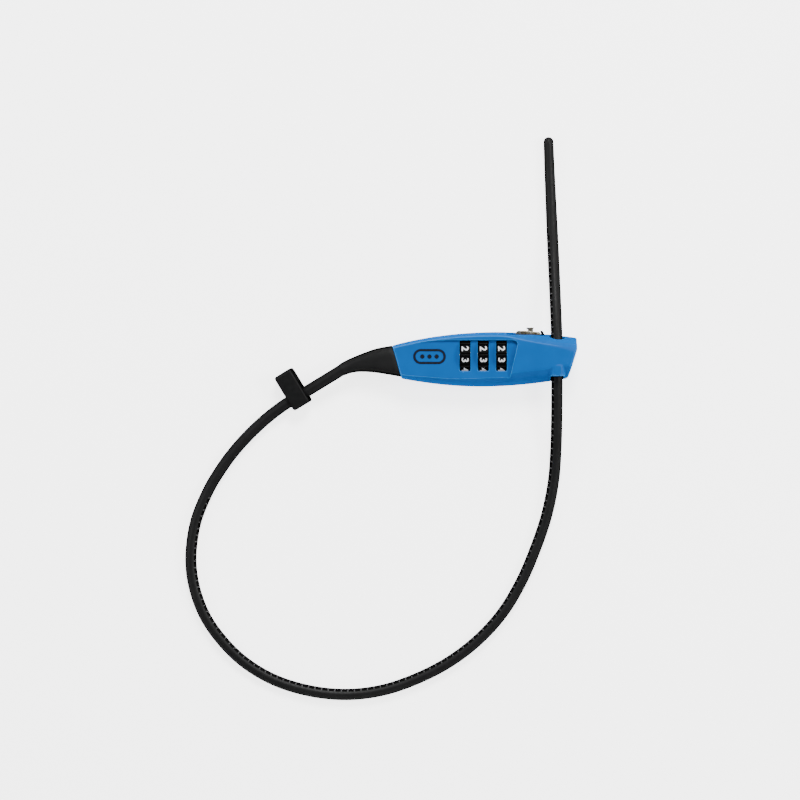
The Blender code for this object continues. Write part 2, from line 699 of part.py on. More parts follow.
def code_ring(number, x, finish):
    start, flange_end, end = RING_START, RING_START + RING_FLANGE_WIDTH, RING_END
    gate_end = start + GATE_WIDTH
    inner, outer = SLEEVE_BORE_RADIUS, RING_SLEEVE_RADIUS
    fork = FORK_OFFSET, FORK_THICKNESS / 2 + NOTCH_GAP
    groove = outer - RING_GROOVE_DEPTH
    rod_hole = SPINDLE_RADIUS + SLIDE_GAP
    profile = [(start, rod_hole), (start, RING_FLANGE_RADIUS), (flange_end, RING_FLANGE_RADIUS)]
    profile += [(flange_end, outer), (fork[0] - fork[1], outer), (fork[0] - fork[1], groove)]
    profile += [(fork[0] + fork[1], groove), (fork[0] + fork[1], outer), (end, outer), (end, inner)]
    profile += [(gate_end, inner), (gate_end, rod_hole)]
    piece = add_piece(f"code_ring_{number}", turned(profile, x, 30), finish, (x, 0, AXIS_Z))
    key = box(
        (x + start, x + flange_end),
        (-RING_KEY_WIDTH / 2, RING_KEY_WIDTH / 2),
        (AXIS_Z + RING_FLANGE_RADIUS - 0.5 * MM, AXIS_Z + RING_FLANGE_RADIUS + RING_KEY_HEIGHT),
    )
    join(piece, key)
    half_gate = LUG_WIDTH / 2 + SLIDE_GAP
    gate = box(
        (x + start - 1 * MM, x + gate_end + 0.5 * MM),
        (-half_gate, half_gate),
        (AXIS_Z + SPINDLE_RADIUS / 2, AXIS_Z + inner - 0.02 * MM),
    )
    cut(piece, gate)
    return piece


def locking_spindle(finish, group):
    body = rod((SPINDLE_LEFT, 0, AXIS_Z), (SPINDLE_RIGHT, 0, AXIS_Z), SPINDLE_RADIUS)
    piece = add_piece("locking_spindle", body, finish, (0, 0, AXIS_Z), group)
    guide = (SPINDLE_LEFT - GUIDE_LENGTH, 0, AXIS_Z), (SPINDLE_LEFT + 1 * MM, 0, AXIS_Z)
    extras = [rod(*guide, GUIDE_RADIUS, 16)]
    lug_y = (-LUG_WIDTH / 2, LUG_WIDTH / 2)
    lug_z = (AXIS_Z + 0.4 * MM, AXIS_Z + LUG_REACH - 0.15 * MM)
    for x in DIAL_X:
        extras.append(box((x + LUG_OFFSET, x + LUG_OFFSET + LUG_LENGTH), lug_y, lug_z))
    join(piece, *extras)
    low, high = (PIN_X, 0, AXIS_Z - 2 * MM), (PIN_X, 0, AXIS_Z + 2 * MM)
    cut(piece, rod(low, high, SPINDLE_PIN_RADIUS + 0.2 * MM, 16))
    return piece


def spindle_pin(finish, group):
    low, high = (PIN_X, 0, AXIS_Z - CARRIAGE_LOW), (PIN_X, 0, AXIS_Z + CARRIAGE_HIGH)
    pin = rod(low, high, SPINDLE_PIN_RADIUS, 16)
    return add_piece("spindle_pin", pin, finish, (PIN_X, 0, AXIS_Z), group)


def spindle_spring(finish):
    start = (SPINDLE_LEFT - SPINDLE_SPRING_LENGTH, 0, AXIS_Z)
    length = SPINDLE_SPRING_LENGTH - TOUCH_GAP - SPRING_WIRE_RADIUS
    points = coil(start, length, SPINDLE_SPRING_RADIUS - SPRING_WIRE_RADIUS, 5)
    return wire("spindle_spring", points, SPRING_WIRE_RADIUS, finish, 1, start)


# ---------------------------------------------------------------- release and pawl


def release_carriage(finish, group):
    left, right = CARRIAGE_LEFT, CARRIAGE_RIGHT
    bottom = AXIS_Z - CARRIAGE_LOW
    block = box((left, right), (CARRIAGE_LOW_Y, CARRIAGE_HIGH_Y), (bottom, AXIS_Z + CARRIAGE_HIGH))
    piece = add_piece("release_carriage", block, finish, (left, 0, AXIS_Z), group)
    spindle_hole = rod((left - 1 * MM, 0, AXIS_Z), (SPINDLE_HOLE_END, 0, AXIS_Z), SPINDLE_RADIUS + TOUCH_GAP)
    spring_radius = PAWL_SPRING_RADIUS + SPRING_WIRE_RADIUS + SLIDE_GAP
    spring_hole = rod((PAWL_SPRING_SEAT, 0, AXIS_Z), (right + 1 * MM, 0, AXIS_Z), spring_radius)
    pin_ends = (PIN_X, 0, AXIS_Z - 6 * MM), (PIN_X, 0, AXIS_Z + 6 * MM)
    pin_hole = rod(*pin_ends, SPINDLE_PIN_RADIUS + TOUCH_GAP, 16)
    half_length, half_width = STEM_LENGTH / 2 + TOUCH_GAP, STEM_WIDTH / 2 + TOUCH_GAP
    stem_socket = box(
        (BUTTON_X - half_length, BUTTON_X + half_length),
        (stem_bottom() - TOUCH_GAP, CARRIAGE_HIGH_Y + 1 * MM),
        (BUTTON_Z - half_width, BUTTON_Z + half_width),
    )
    hook_right = HOOK_X + HOOK_ARM_THICKNESS + TOUCH_GAP
    hook_room = box(
        (hook_right - HOOK_ARM_THICKNESS - PAWL_TRAVEL - 3 * TOUCH_GAP, hook_right),
        (-HOOK_WIDTH / 2 - TOUCH_GAP, HOOK_WIDTH / 2 + TOUCH_GAP),
        (bottom - 1 * MM, bottom + HOOK_DEPTH + TOUCH_GAP),
    )
    cut(piece, spindle_hole, spring_hole, pin_hole, stem_socket, hook_room)
    return piece


def stem_bottom():
    return CARRIAGE_HIGH_Y - 1.7 * MM


def release_button(finish, group):
    """The plated slider: a plate with sloped ends, a thumb rib that widens upwards, and a stem."""
    base = LANDING_Y + 0.2 * MM
    top = base + BUTTON_THICKNESS
    half, slope, edge = BUTTON_LENGTH / 2, 1.0 * MM, 0.3 * MM
    plate = [(-half, base), (half, base), (half, base + edge)]
    plate += [(half - slope, top), (slope - half, top), (-half, base + edge)]
    foot, crest, shoulder = 0.42 * THUMB_RIB_LENGTH, THUMB_RIB_LENGTH / 2, 0.4 * MM
    peak = top + THUMB_RIB_HEIGHT
    rib = [(-foot, top - edge), (foot, top - edge), (crest, peak - shoulder)]
    rib += [(0.8 * crest, peak), (-0.8 * crest, peak), (-crest, peak - shoulder)]
    low, high = BUTTON_Z - BUTTON_WIDTH / 2, BUTTON_Z + BUTTON_WIDTH / 2
    stem = box(
        (BUTTON_X - STEM_LENGTH / 2, BUTTON_X + STEM_LENGTH / 2),
        (stem_bottom(), base + 0.2 * MM),
        (BUTTON_Z - STEM_WIDTH / 2, BUTTON_Z + STEM_WIDTH / 2),
    )
    plate = prism([(BUTTON_X + x, y) for x, y in plate], low, high, "Z")
    rib = prism([(BUTTON_X + x, y) for x, y in rib], low + edge, high - edge, "Z")
    piece = add_piece("release_button", plate, finish, (BUTTON_X, base, BUTTON_Z), group)
    join(piece, rib, stem)
    return piece


def pawl(finish, group):
    """The catch: a head with three teeth towards the strap, a stem in its spring, and a hook."""
    width, height = PAWL_HEAD_HALF_WIDTH, PAWL_HEAD_HALF_HEIGHT
    tooth, teeth = 0.5 * MM, 3
    outline = [(PAWL_BACK, width), (PAWL_BACK, -width)]
    for i in range(teeth):
        low = -width + 2 * width * i / teeth
        outline.append((PAWL_FRONT - tooth, low))
        outline.append((PAWL_FRONT, low + 2 * width / teeth - 0.2 * MM))
    outline.append((PAWL_FRONT - tooth, width))
    head = prism(outline, AXIS_Z - height, AXIS_Z + height, "Z")
    piece = add_piece("pawl", head, finish, (PAWL_FRONT, 0, AXIS_Z), group)
    stem_ends = (PAWL_BACK - PAWL_STEM_LENGTH, 0, AXIS_Z), (PAWL_BACK + 0.5 * MM, 0, AXIS_Z)
    arm_top = AXIS_Z - CARRIAGE_LOW - TOUCH_GAP
    arm_z = (arm_top - HOOK_ARM_THICKNESS, arm_top)
    nose_z = (arm_top - 0.3 * MM, arm_top + TOUCH_GAP + HOOK_DEPTH - 0.1 * MM)
    leg_z = (arm_top - 0.3 * MM, AXIS_Z - height + 0.5 * MM)
    side = (-HOOK_WIDTH / 2, HOOK_WIDTH / 2)
    leg_left, leg_right = PAWL_BACK + 0.1 * MM, PAWL_BACK + 0.9 * MM
    join(
        piece,
        rod(*stem_ends, PAWL_STEM_RADIUS, 16),
        box((HOOK_X, leg_right), side, arm_z),
        box((HOOK_X, HOOK_X + HOOK_ARM_THICKNESS), side, nose_z),
        box((leg_left, leg_right), (side[0] + 0.1 * MM, side[1] - 0.1 * MM), leg_z),
    )
    return piece


def pawl_spring(finish, group):
    start = (PAWL_SPRING_SEAT + TOUCH_GAP + SPRING_WIRE_RADIUS, 0, AXIS_Z)
    length = PAWL_BACK - TOUCH_GAP - SPRING_WIRE_RADIUS - start[0]
    points = coil(start, length, PAWL_SPRING_RADIUS - SPRING_WIRE_RADIUS, 4)
    return wire("pawl_spring", points, SPRING_WIRE_RADIUS, finish, 1, start, group)


# ---------------------------------------------------------------- code setting and clicks


def comb_right():
    return DIAL_X[-1] + FORK_OFFSET + 1.3 * MM


def reset_comb(finish):
    spine_z = (COVER_TOP, COVER_TOP + COMB_SPINE_THICKNESS)
    half = COMB_SPINE_WIDTH / 2
    spine = box((comb_tail(), comb_right()), (-half, half), spine_z)
    piece = add_piece("reset_comb", spine, finish, (comb_tail(), 0, COVER_TOP))
    extras = []
    saddle = RING_SLEEVE_RADIUS - RING_GROOVE_DEPTH + NOTCH_GAP
    side, root = FORK_WIDTH / 2, spine_z[0] + 0.1 * MM
    start = -math.acos(side / saddle)
    top = AXIS_Z + saddle * math.sin(start) - 0.1 * MM
    narrow = half - 0.2 * MM
    steps = 10
    for x in DIAL_X:
        outline = [(-narrow, root), (narrow, root), (side, root + 1.2 * MM), (side, top)]
        for step in range(1, steps):
            angle = start - (math.pi + 2 * start) * step / steps
            outline.append((saddle * math.cos(angle), AXIS_Z + saddle * math.sin(angle)))
        outline += [(-side, top), (-side, root + 1.2 * MM)]
        middle = x + FORK_OFFSET
        extras.append(prism(outline, middle - FORK_THICKNESS / 2, middle + FORK_THICKNESS / 2, "X"))
    tab_left = comb_tail() + 0.6 * MM
    tab_x = (tab_left, tab_left + RESET_TAB_LENGTH)
    tab_y = (-RESET_TAB_WIDTH / 2, RESET_TAB_WIDTH / 2)
    extras.append(box(tab_x, tab_y, (0.4 * MM, spine_z[0] + 0.2 * MM)))
    stop_x = (comb_right() - 0.6 * MM, comb_right() - 0.05 * MM)
    extras.append(box(stop_x, (-1.0 * MM, 1.0 * MM), (spine_z[0] + 0.1 * MM, RESET_STOP_TOP)))
    join(piece, *extras)
    return piece


def reset_spring(finish):
    height = COVER_THICKNESS + 0.3 * MM + RESET_SPRING_RADIUS
    start = (comb_right() + TOUCH_GAP + RESET_WIRE_RADIUS, 0, height)
    length = RESET_SPRING_LENGTH - 2 * RESET_WIRE_RADIUS
    points = coil(start, length, RESET_SPRING_RADIUS - RESET_WIRE_RADIUS, 5)
    return wire("reset_spring", points, RESET_WIRE_RADIUS, finish, 1, start)


def dial_click_spring(finish):
    """A waved leaf whose crests press towards the dials."""
    crest = -(DIAL_RADIUS + SLIDE_GAP)
    thickness = CLICK_LEAF_THICKNESS
    rise = DIAL_WIDTH / 2 - 0.1 * MM
    end = DIAL_X[-1] + DIAL_WIDTH / 2 + DIAL_SIDE_GAP
    upper = [(-end, LEAF_Y)]
    for x in DIAL_X:
        upper += [(x - rise, LEAF_Y), (x - 0.4 * MM, crest), (x + 0.4 * MM, crest), (x + rise, LEAF_Y)]
    upper.append((end, LEAF_Y))
    outline = upper + [(x, y - thickness) for x, y in reversed(upper)]
    half = CLICK_LEAF_WIDTH / 2
    mesh = prism(outline, AXIS_Z - half, AXIS_Z + half, "Z")
    return add_piece("dial_click_spring", mesh, finish, (0, LEAF_Y, AXIS_Z))


# ---------------------------------------------------------------- strap, anchor, boot and clip

# The strap's route from the boot's mouth, under the clip, round the loop, up through the head and
# out to the tip, chosen by hand. The heights are those of the strap's axis.
LYING = STRAP_RADIUS + 0.1 * MM
STRAP_ROUTE = [
    (-53.2 * MM, -5.2 * MM, AXIS_Z - 1.7 * MM),
    (-61.9 * MM, -10.5 * MM, 6.4 * MM),
    (-70.5 * MM, -15.7 * MM, 4.8 * MM),
    (-76.1 * MM, -19.1 * MM, 3.75 * MM),
    (-82.4 * MM, -23.9 * MM, 2.75 * MM),
    (-89.0 * MM, -30.0 * MM, 2.2 * MM),
    (-95.2 * MM, -36.9 * MM, LYING),
    (-100.6 * MM, -44.4 * MM, LYING),
    (-105.2 * MM, -52.4 * MM, LYING),
    (-109.6 * MM, -63.6 * MM, LYING),
    (-111.4 * MM, -76.5 * MM, LYING),
    (-110.2 * MM, -88.0 * MM, LYING),
    (-106.1 * MM, -99.3 * MM, LYING),
    (-99.2 * MM, -109.2 * MM, LYING),
    (-90.3 * MM, -117.6 * MM, LYING),
    (-78.8 * MM, -124.2 * MM, LYING),
    (-65.2 * MM, -128.2 * MM, LYING),
    (-51.3 * MM, -129.4 * MM, LYING),
    (-37.9 * MM, -127.7 * MM, LYING),
    (-25.0 * MM, -123.3 * MM, LYING),
    (-12.8 * MM, -117.0 * MM, LYING),
    (-1.8 * MM, -108.6 * MM, LYING),
    (7.4 * MM, -98.5 * MM, LYING),
    (14.4 * MM, -87.0 * MM, LYING),
    (19.9 * MM, -74.4 * MM, LYING),
    (24.3 * MM, -61.4 * MM, 2.4 * MM),
    (27.0 * MM, -48.0 * MM, 3.3 * MM),
    (27.9 * MM, -35.0 * MM, 5.1 * MM),
    (28.1 * MM, -22.0 * MM, 7.6 * MM),
    (28.1 * MM, -10.0 * MM, AXIS_Z - 0.25 * MM),
    (28.1 * MM, -1.0 * MM, AXIS_Z),
    (28.0 * MM, 7.0 * MM, AXIS_Z - 0.15 * MM),
    (27.7 * MM, 17.0 * MM, 8.1 * MM),
    (27.3 * MM, 29.0 * MM, 5.5 * MM),
    (26.8 * MM, 42.0 * MM, 3.3 * MM),
    (26.2 * MM, 56.0 * MM, 2.25 * MM),
    (25.6 * MM, 70.0 * MM, LYING),
    (25.1 * MM, 83.5 * MM, LYING),
]
STRAP_POINT_SPACING = 2 * STRAP_DIAMETER


def strap(finish):
    points = smooth_route(STRAP_ROUTE, STRAP_POINT_SPACING)
    return wire("strap", points, STRAP_RADIUS, finish, 2, STRAP_ROUTE[0])


def mouth_direction():
    """The way the strap leaves the boot."""
    return (Vector(STRAP_ROUTE[1]) - Vector(STRAP_ROUTE[0])).normalized()


def boot_line():
    """The boot's middle line, from the housing's slanted end to the boot's mouth."""
    face, outward = ferrule_axis()
    start = face + outward * TOUCH_GAP
    end = Vector(STRAP_ROUTE[0]) - mouth_direction() * TOUCH_GAP
    reach = (end - start).length
    bend_in = start + outward * 0.4 * reach
    bend_out = end - mouth_direction() * 0.3 * reach
    points = []
    steps = 7
    for step in range(steps + 1):
        t = step / steps
        near = start * (1 - t) ** 3 + bend_in * 3 * t * (1 - t) ** 2
        points.append(near + bend_out * 3 * t**2 * (1 - t) + end * t**3)
    return points


def rings_along(points, radii, directions, sides):
    rings = []
    for point, (across, upright), direction in zip(points, radii, directions):
        side = direction.cross(Vector((0, 0, 1))).normalized()
        up = side.cross(direction).normalized()
        ring = []
        for step in range(sides):
            angle = 2 * math.pi * step / sides
            ring.append(point + side * across * math.cos(angle) + up * upright * math.sin(angle))
        rings.append(ring)
    return rings


def line_directions(points, first, last):
    middle = [(after - before).normalized() for before, after in zip(points, points[2:])]
    return [first, *middle, last]


def strap_boot(finish):
    points = boot_line()
    directions = line_directions(points, ferrule_axis()[1], mouth_direction())
    sides = 20
    shares = [1.0, 0.93, 0.72, 0.46, 0.27, 0.14, 0.05, 0.0]
    spread = BOOT_END_RADIUS - BOOT_MOUTH_RADIUS
    outer = [(BOOT_MOUTH_RADIUS + spread * share,) * 2 for share in shares]
    bore = [(CORE_DIAMETER / 2 + TOUCH_GAP,) * 2] * len(points)
    rings = rings_along(points, outer, directions, sides)
    rings += rings_along(points, bore, directions, sides)[::-1]
    return add_piece("strap_boot", loft(rings, hollow=True), finish, points[-1])


def core_cable(finish):
    """The steel core between the ferrule and the strap's moulded start."""
    points = boot_line()
    face, outward = ferrule_axis()
    start = face - outward * END_WALL
    end = points[-1] - mouth_direction() * TOUCH_GAP
    return wire("core_cable", [start, *points[:-1], end], CORE_DIAMETER / 2, finish, 2, start)


def anchor_ferrule(finish):
    face, outward = ferrule_axis()
    near = face - outward * (END_WALL + TOUCH_GAP)
    far = near - outward * FERRULE_LENGTH
    return add_piece("anchor_ferrule", rod(near, far, FERRULE_DIAMETER / 2, 20), finish, near)


def keeper_clip(finish):
    """A block with two bores: the strap runs through one, and the other parks the spare tail."""
    centre = Vector(STRAP_ROUTE[2])
    along = (centre - Vector(STRAP_ROUTE[0])).normalized()
    across = along.cross(Vector((0, 0, 1))).normalized()
    upright = across.cross(along)
    near, far = -CLIP_BORE_FROM_END, CLIP_LENGTH - CLIP_BORE_FROM_END
    middle = centre + across * (near + far) / 2
    rings = []
    for distance, inset in ((-1, CLIP_EDGE), (-1, 0), (1, 0), (1, CLIP_EDGE)):
        reach, rise = CLIP_LENGTH / 2 - inset, CLIP_HEIGHT / 2 - inset
        depth = distance * (CLIP_WIDTH / 2 - (CLIP_EDGE if inset == 0 else 0))
        ring = []
        for a, b in ((1, 1), (-1, 1), (-1, -1), (1, -1)):
            corner = [(a * (reach - CLIP_CORNER), b * rise), (a * reach, b * (rise - CLIP_CORNER))]
            for step_across, step_up in corner if a * b < 0 else corner[::-1]:
                ring.append(middle + along * depth + across * step_across + upright * step_up)
        rings.append(ring)
    piece = add_piece("keeper_clip", loft(rings), finish, centre)
    radius = STRAP_RADIUS + CLIP_BORE_GAP
    bores = []
    for offset in (0, CLIP_BORE_SPACING):
        bore = centre + across * offset
        bores.append(rod(bore - along * CLIP_WIDTH, bore + along * CLIP_WIDTH, radius, 24))
    cut(piece, *bores)
    return piece


# ---------------------------------------------------------------- assembly


def main():
    for old in list(bpy.data.objects):
        bpy.data.objects.remove(old)

    blue = material("blue_die_cast", (0.022, 0.19, 0.47), 0.35, 0.0)
    black = material("black_plastic", (0.012, 0.012, 0.013), 0.45, 0.0)
    dial_black = material("dial_black", (0.008, 0.008, 0.009), 0.4, 0.0)
    rubber = material("boot_black", (0.016, 0.016, 0.017), 0.6, 0.0)
    nickel = material("aged_nickel", (0.30, 0.27, 0.22), 0.35, 1.0)
    steel = material("steel", (0.55, 0.55, 0.56), 0.35, 1.0)
    brass = material("brass", (0.60, 0.45, 0.18), 0.35, 1.0)

    front_housing(blue)
    back_cover(blue)
    for number, (x, y) in enumerate(rivet_places(), 1):
        cover_rivet(number, x, y, steel)
    for number, x in enumerate(DIAL_X, 1):
        number_dial(number, x, dial_black)
        code_ring(number, x, brass)
    dial_click_spring(steel)
    reset_comb(steel)
    reset_spring(steel)

    release_group = empty("release_group", Vector((BUTTON_X, 0, AXIS_Z)))
    locking_spindle(steel, release_group)
    spindle_pin(steel, release_group)
    release_carriage(steel, release_group)
    release_button(nickel, release_group)
    pawl(steel, release_group)
    pawl_spring(steel, release_group)
    spindle_spring(steel)

    anchor_ferrule(steel)
    core_cable(steel)
    strap_boot(rubber)
    strap(black)
    keeper_clip(black)


main()
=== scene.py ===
"""The looks of a three-dial combination lock with a looping toothed strap.

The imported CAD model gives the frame: +X runs from the boot to the head, +Y is the release button's
side and +Z comes out of the dial face. Lengths are in metres.
"""

import json
import math
from bisect import bisect_right

import bmesh
import bpy
from mathutils import Matrix, Vector


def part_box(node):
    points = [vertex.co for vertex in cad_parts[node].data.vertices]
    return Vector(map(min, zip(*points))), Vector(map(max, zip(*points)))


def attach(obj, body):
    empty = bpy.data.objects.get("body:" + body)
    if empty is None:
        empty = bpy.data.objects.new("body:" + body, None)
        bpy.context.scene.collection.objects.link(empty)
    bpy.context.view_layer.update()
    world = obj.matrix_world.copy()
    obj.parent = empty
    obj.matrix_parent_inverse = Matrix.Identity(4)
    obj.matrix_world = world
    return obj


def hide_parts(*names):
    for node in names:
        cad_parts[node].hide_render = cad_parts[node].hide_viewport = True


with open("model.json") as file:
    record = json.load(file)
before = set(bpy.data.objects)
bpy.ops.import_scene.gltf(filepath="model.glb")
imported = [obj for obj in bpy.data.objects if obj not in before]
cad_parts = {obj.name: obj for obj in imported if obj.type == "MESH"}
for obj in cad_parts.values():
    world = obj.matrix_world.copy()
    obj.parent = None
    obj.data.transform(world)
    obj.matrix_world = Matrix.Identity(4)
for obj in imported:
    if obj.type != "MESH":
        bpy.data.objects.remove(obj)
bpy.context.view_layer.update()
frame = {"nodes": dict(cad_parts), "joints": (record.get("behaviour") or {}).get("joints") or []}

MM = 0.001
UP = Vector((0, 0, 1))


# ---- sizes


def middle(node):
    low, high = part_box(node)
    return (Vector(low) + Vector(high)) / 2


def span(node, axis, gap=0.0):
    """Where a CAD node starts and ends along axis 0, 1 or 2, widened by a gap."""
    low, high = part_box(node)
    return low[axis] - gap, high[axis] + gap


def around(centre, half):
    """The ends of a stretch that is twice half long."""
    return centre - half, centre + half


GAP = 0.3 * MM  # round the CAD nodes that rest in the housing
DIALS = ["number_dial_1", "number_dial_2", "number_dial_3"]
DIAL_X = [middle(node).x for node in DIALS]
AXIS_Z = middle(DIALS[1]).z
DIAL_RADIUS = span(DIALS[1], 1)[1]
DIAL_HALF_WIDTH = (span(DIALS[1], 0)[1] - span(DIALS[1], 0)[0]) / 2
DIAL_SIDE_GAP = 0.2 * MM
HALF_WELL = DIAL_HALF_WIDTH + DIAL_SIDE_GAP
DIAL_PROUD = 2.5 * MM
DIAL_POSITIONS = 10
DIGIT_TURN = math.radians(15)  # from the middle of the window to the digit 3
RELEASE_TRAVEL = next(j["range_m"][1] for j in frame["joints"] if j["name"] == "release_slide")

PANEL_Z = AXIS_Z + DIAL_RADIUS - DIAL_PROUD
HEAD_Z = PANEL_Z + 1.7 * MM
PANEL_TOP_Y = 5.6 * MM
WELL_RADIUS = DIAL_RADIUS + GAP
BODY_TOP = WELL_RADIUS + 1.5 * MM
BODY_BOTTOM = -(WELL_RADIUS + 4.45 * MM)
STRAP_X = DIAL_X[-1] + 21.2 * MM
BODY_RIGHT = STRAP_X + 6.85 * MM
BODY_LEFT = BODY_RIGHT - 68.45 * MM
LEFT_SLANT, RIGHT_SLANT = -0.287, 0.307
LEFT_END_TOP, LEFT_END_BOTTOM = 3.75 * MM, -8.8 * MM
RIGHT_END_TOP, RIGHT_END_BOTTOM = 6.5 * MM, -8.7 * MM
BODY_REACH = span("front_housing", 0)[1] - 0.06 * MM
HEAD_START = DIAL_X[-1] + 2.0 * MM
RIM_WALL = 1.3 * MM
COVER_TOP = span("back_cover", 2)[0] + 1.5 * MM + GAP
HOLLOW_FLOOR = COVER_TOP - 0.5 * MM  # hollows run on into the cover's recess
CHAMBER_LEFT = span("release_carriage", 0)[0] - RELEASE_TRAVEL - GAP
LANDING_Y = BODY_TOP - 1.4 * MM

STRAP_DIAMETER = 4.3 * MM
STRAP_RADIUS = STRAP_DIAMETER / 2
CHANNEL_RADIUS = STRAP_RADIUS + 0.45 * MM
STRAP_SKIN = STRAP_RADIUS + 0.06 * MM  # the shown strap is a little fuller than its CAD tube
LYING = STRAP_RADIUS + 0.1 * MM
ROUTE_POINTS = [  # x and y in millimetres, then the height where the strap is off the floor
    (-53.2, -5.2, AXIS_Z - 1.7 * MM),
    (-61.9, -10.5, 6.4 * MM),
    (-70.5, -15.7, 4.8 * MM),
    (-76.1, -19.1, 3.75 * MM),
    (-82.4, -23.9, 2.75 * MM),
    (-89.0, -30.0, 2.2 * MM),
    (-95.2, -36.9),
    (-100.6, -44.4),
    (-105.2, -52.4),
    (-109.6, -63.6),
    (-111.4, -76.5),
    (-110.2, -88.0),
    (-106.1, -99.3),
    (-99.2, -109.2),
    (-90.3, -117.6),
    (-78.8, -124.2),
    (-65.2, -128.2),
    (-51.3, -129.4),
    (-37.9, -127.7),
    (-25.0, -123.3),
    (-12.8, -117.0),
    (-1.8, -108.6),
    (7.4, -98.5),
    (14.4, -87.0),
    (19.9, -74.4),
    (24.3, -61.4, 2.4 * MM),
    (27.0, -48.0, 3.3 * MM),
    (27.9, -35.0, 5.1 * MM),
    (28.1, -22.0, 7.6 * MM),
    (28.1, -10.0, AXIS_Z - 0.25 * MM),
    (28.1, -1.0, AXIS_Z),
    (28.0, 7.0, AXIS_Z - 0.15 * MM),
    (27.7, 17.0, 8.1 * MM),
    (27.3, 29.0, 5.5 * MM),
    (26.8, 42.0, 3.3 * MM),
    (26.2, 56.0, 2.25 * MM),
    (25.6, 70.0),
    (25.1, 83.5),
]
STRAP_ROUTE = [(x * MM, y * MM, *(height or [LYING])) for x, y, *height in ROUTE_POINTS]
TOOTH_PITCH = 2.57 * MM
TEETH_START, TEETH_END = 73 * MM, 402 * MM  # measured along the strap from the boot's mouth
RACK_POINTS = 8  # of the strap's section that lie on its rack
CREST_FACES = 4  # of the rack's faces that form the top of a tooth, painted paler as a highlight
TIP_RADIUS = 1.9 * MM
BOOT_LENGTH = 22 * MM
EDGE_RADIUS = 0.3 * MM  # of an edge that is fully paler: worn paint and a painted highlight
EDGE_MARKS = "worn_and_highlit_edge"  # the attribute that stores how sharp an edge is


# ---- mesh helpers


def add_object(name, data, location=(0, 0, 0)):
    made = bpy.data.objects.new(name, data)
    made.location = location
    bpy.context.scene.collection.objects.link(made)
    return made


def to_data(name, mesh):
    """The bmesh as mesh data with its faces turned outwards. The bmesh is used up."""
    bmesh.ops.recalc_face_normals(mesh, faces=mesh.faces)
    data = bpy.data.meshes.new(name)
    mesh.to_mesh(data)
    mesh.free()
    return data


def new_piece(name, mesh, finish, body, crisp=35):
    """Makes a shown piece of a bmesh, which rides on a CAD body."""
    return place_piece(name, to_data(name, mesh), finish, body, crisp)


def place_piece(name, data, finish, body, crisp=35):
    """Makes a shown piece of mesh data, smooth but for edges sharper than crisp degrees."""
    data.materials.clear()
    data.materials.append(finish)
    data.shade_smooth()
    data.set_sharp_from_angle(angle=math.radians(crisp))
    made = add_object(name, data)
    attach(made, body)
    return made


def scratch(mesh):
    return add_object("scratch", to_data("scratch", mesh))


def carved(mesh, joined=(), cuts=(), voxel=None, smoothing=0, most_triangles=None):
    """The mesh with shapes joined on and cut out, and its edges softened by remeshing if asked."""
    base = scratch(mesh)
    tools = []
    for operation, shapes in (("UNION", joined), ("DIFFERENCE", cuts)):
        for shape in shapes:
            tools.append(scratch(shape))
            modifier = base.modifiers.new("carve", "BOOLEAN")
            modifier.operation = operation
            modifier.solver = "EXACT"
            modifier.object = tools[-1]
    if voxel:
        modifier = base.modifiers.new("remesh", "REMESH")
        modifier.mode = "VOXEL"
        modifier.voxel_size = voxel
        modifier.adaptivity = 0
        modifier.use_smooth_shade = True
        modifier = base.modifiers.new("smooth", "SMOOTH")
        modifier.factor = 0.5
        modifier.iterations = smoothing
    data = evaluated(base)
    if most_triangles and 2 * len(data.polygons) > most_triangles:
        base.modifiers.clear()
        base.data = data
        modifier = base.modifiers.new("thin", "DECIMATE")
        modifier.ratio = most_triangles / (2 * len(data.polygons))
        data = evaluated(base)
    for tool in [base, *tools]:
        bpy.data.objects.remove(tool)
    return data


def mark_edges(data):
    """Stores how tightly the surface turns outwards at each point, for paint that is paler on edges,
    worn thin and carrying a painted highlight along the creases:
    1 stands for a radius of EDGE_RADIUS."""
    mesh = bmesh.new()
    mesh.from_mesh(data)
    turn = [0.0] * len(mesh.verts)
    area = [1e-12] * len(mesh.verts)
    for edge in mesh.edges:
        bend = edge.calc_face_angle_signed(0) * edge.calc_length() / 2
        for vertex in edge.verts:
            turn[vertex.index] += bend
    for face in mesh.faces:
        share = face.calc_area() / len(face.verts)
        for vertex in face.verts:
            area[vertex.index] += share
    sharp = [EDGE_RADIUS * bend / size for bend, size in zip(turn, area)]
    marks = data.attributes.new(EDGE_MARKS, "FLOAT", "POINT")
    for vertex in mesh.verts:
        near = [sharp[edge.other_vert(vertex).index] for edge in vertex.link_edges]
        marks.data[vertex.index].value = (sharp[vertex.index] + sum(near) / len(near)) / 2
    mesh.free()


def evaluated(piece):
    graph = bpy.context.evaluated_depsgraph_get()
    return bpy.data.meshes.new_from_object(piece.evaluated_get(graph))


def box(x, y, z):
    mesh = bmesh.new()
    centre = [(low + high) / 2 for low, high in (x, y, z)]
    sides = [high - low for low, high in (x, y, z)]
    matrix = Matrix.Translation(centre) @ Matrix.Diagonal((*sides, 1))
    bmesh.ops.create_cube(mesh, size=1, matrix=matrix)
    return mesh


def add_cone(mesh, radius, end_radius, depth, segments, matrix):
    bmesh.ops.create_cone(
        mesh,
        cap_ends=True,
        segments=segments,
        radius1=radius,
        radius2=end_radius,
        depth=depth,
        matrix=matrix,
    )


def rod(start, end, radius, segments=48, end_radius=None):
    start, end = Vector(start), Vector(end)
    along = end - start
    turn = along.to_track_quat("Z", "Y").to_matrix().to_4x4()
    matrix = Matrix.Translation((start + end) / 2) @ turn
    mesh = bmesh.new()
    add_cone(mesh, radius, end_radius or radius, along.length, segments, matrix)
    return mesh


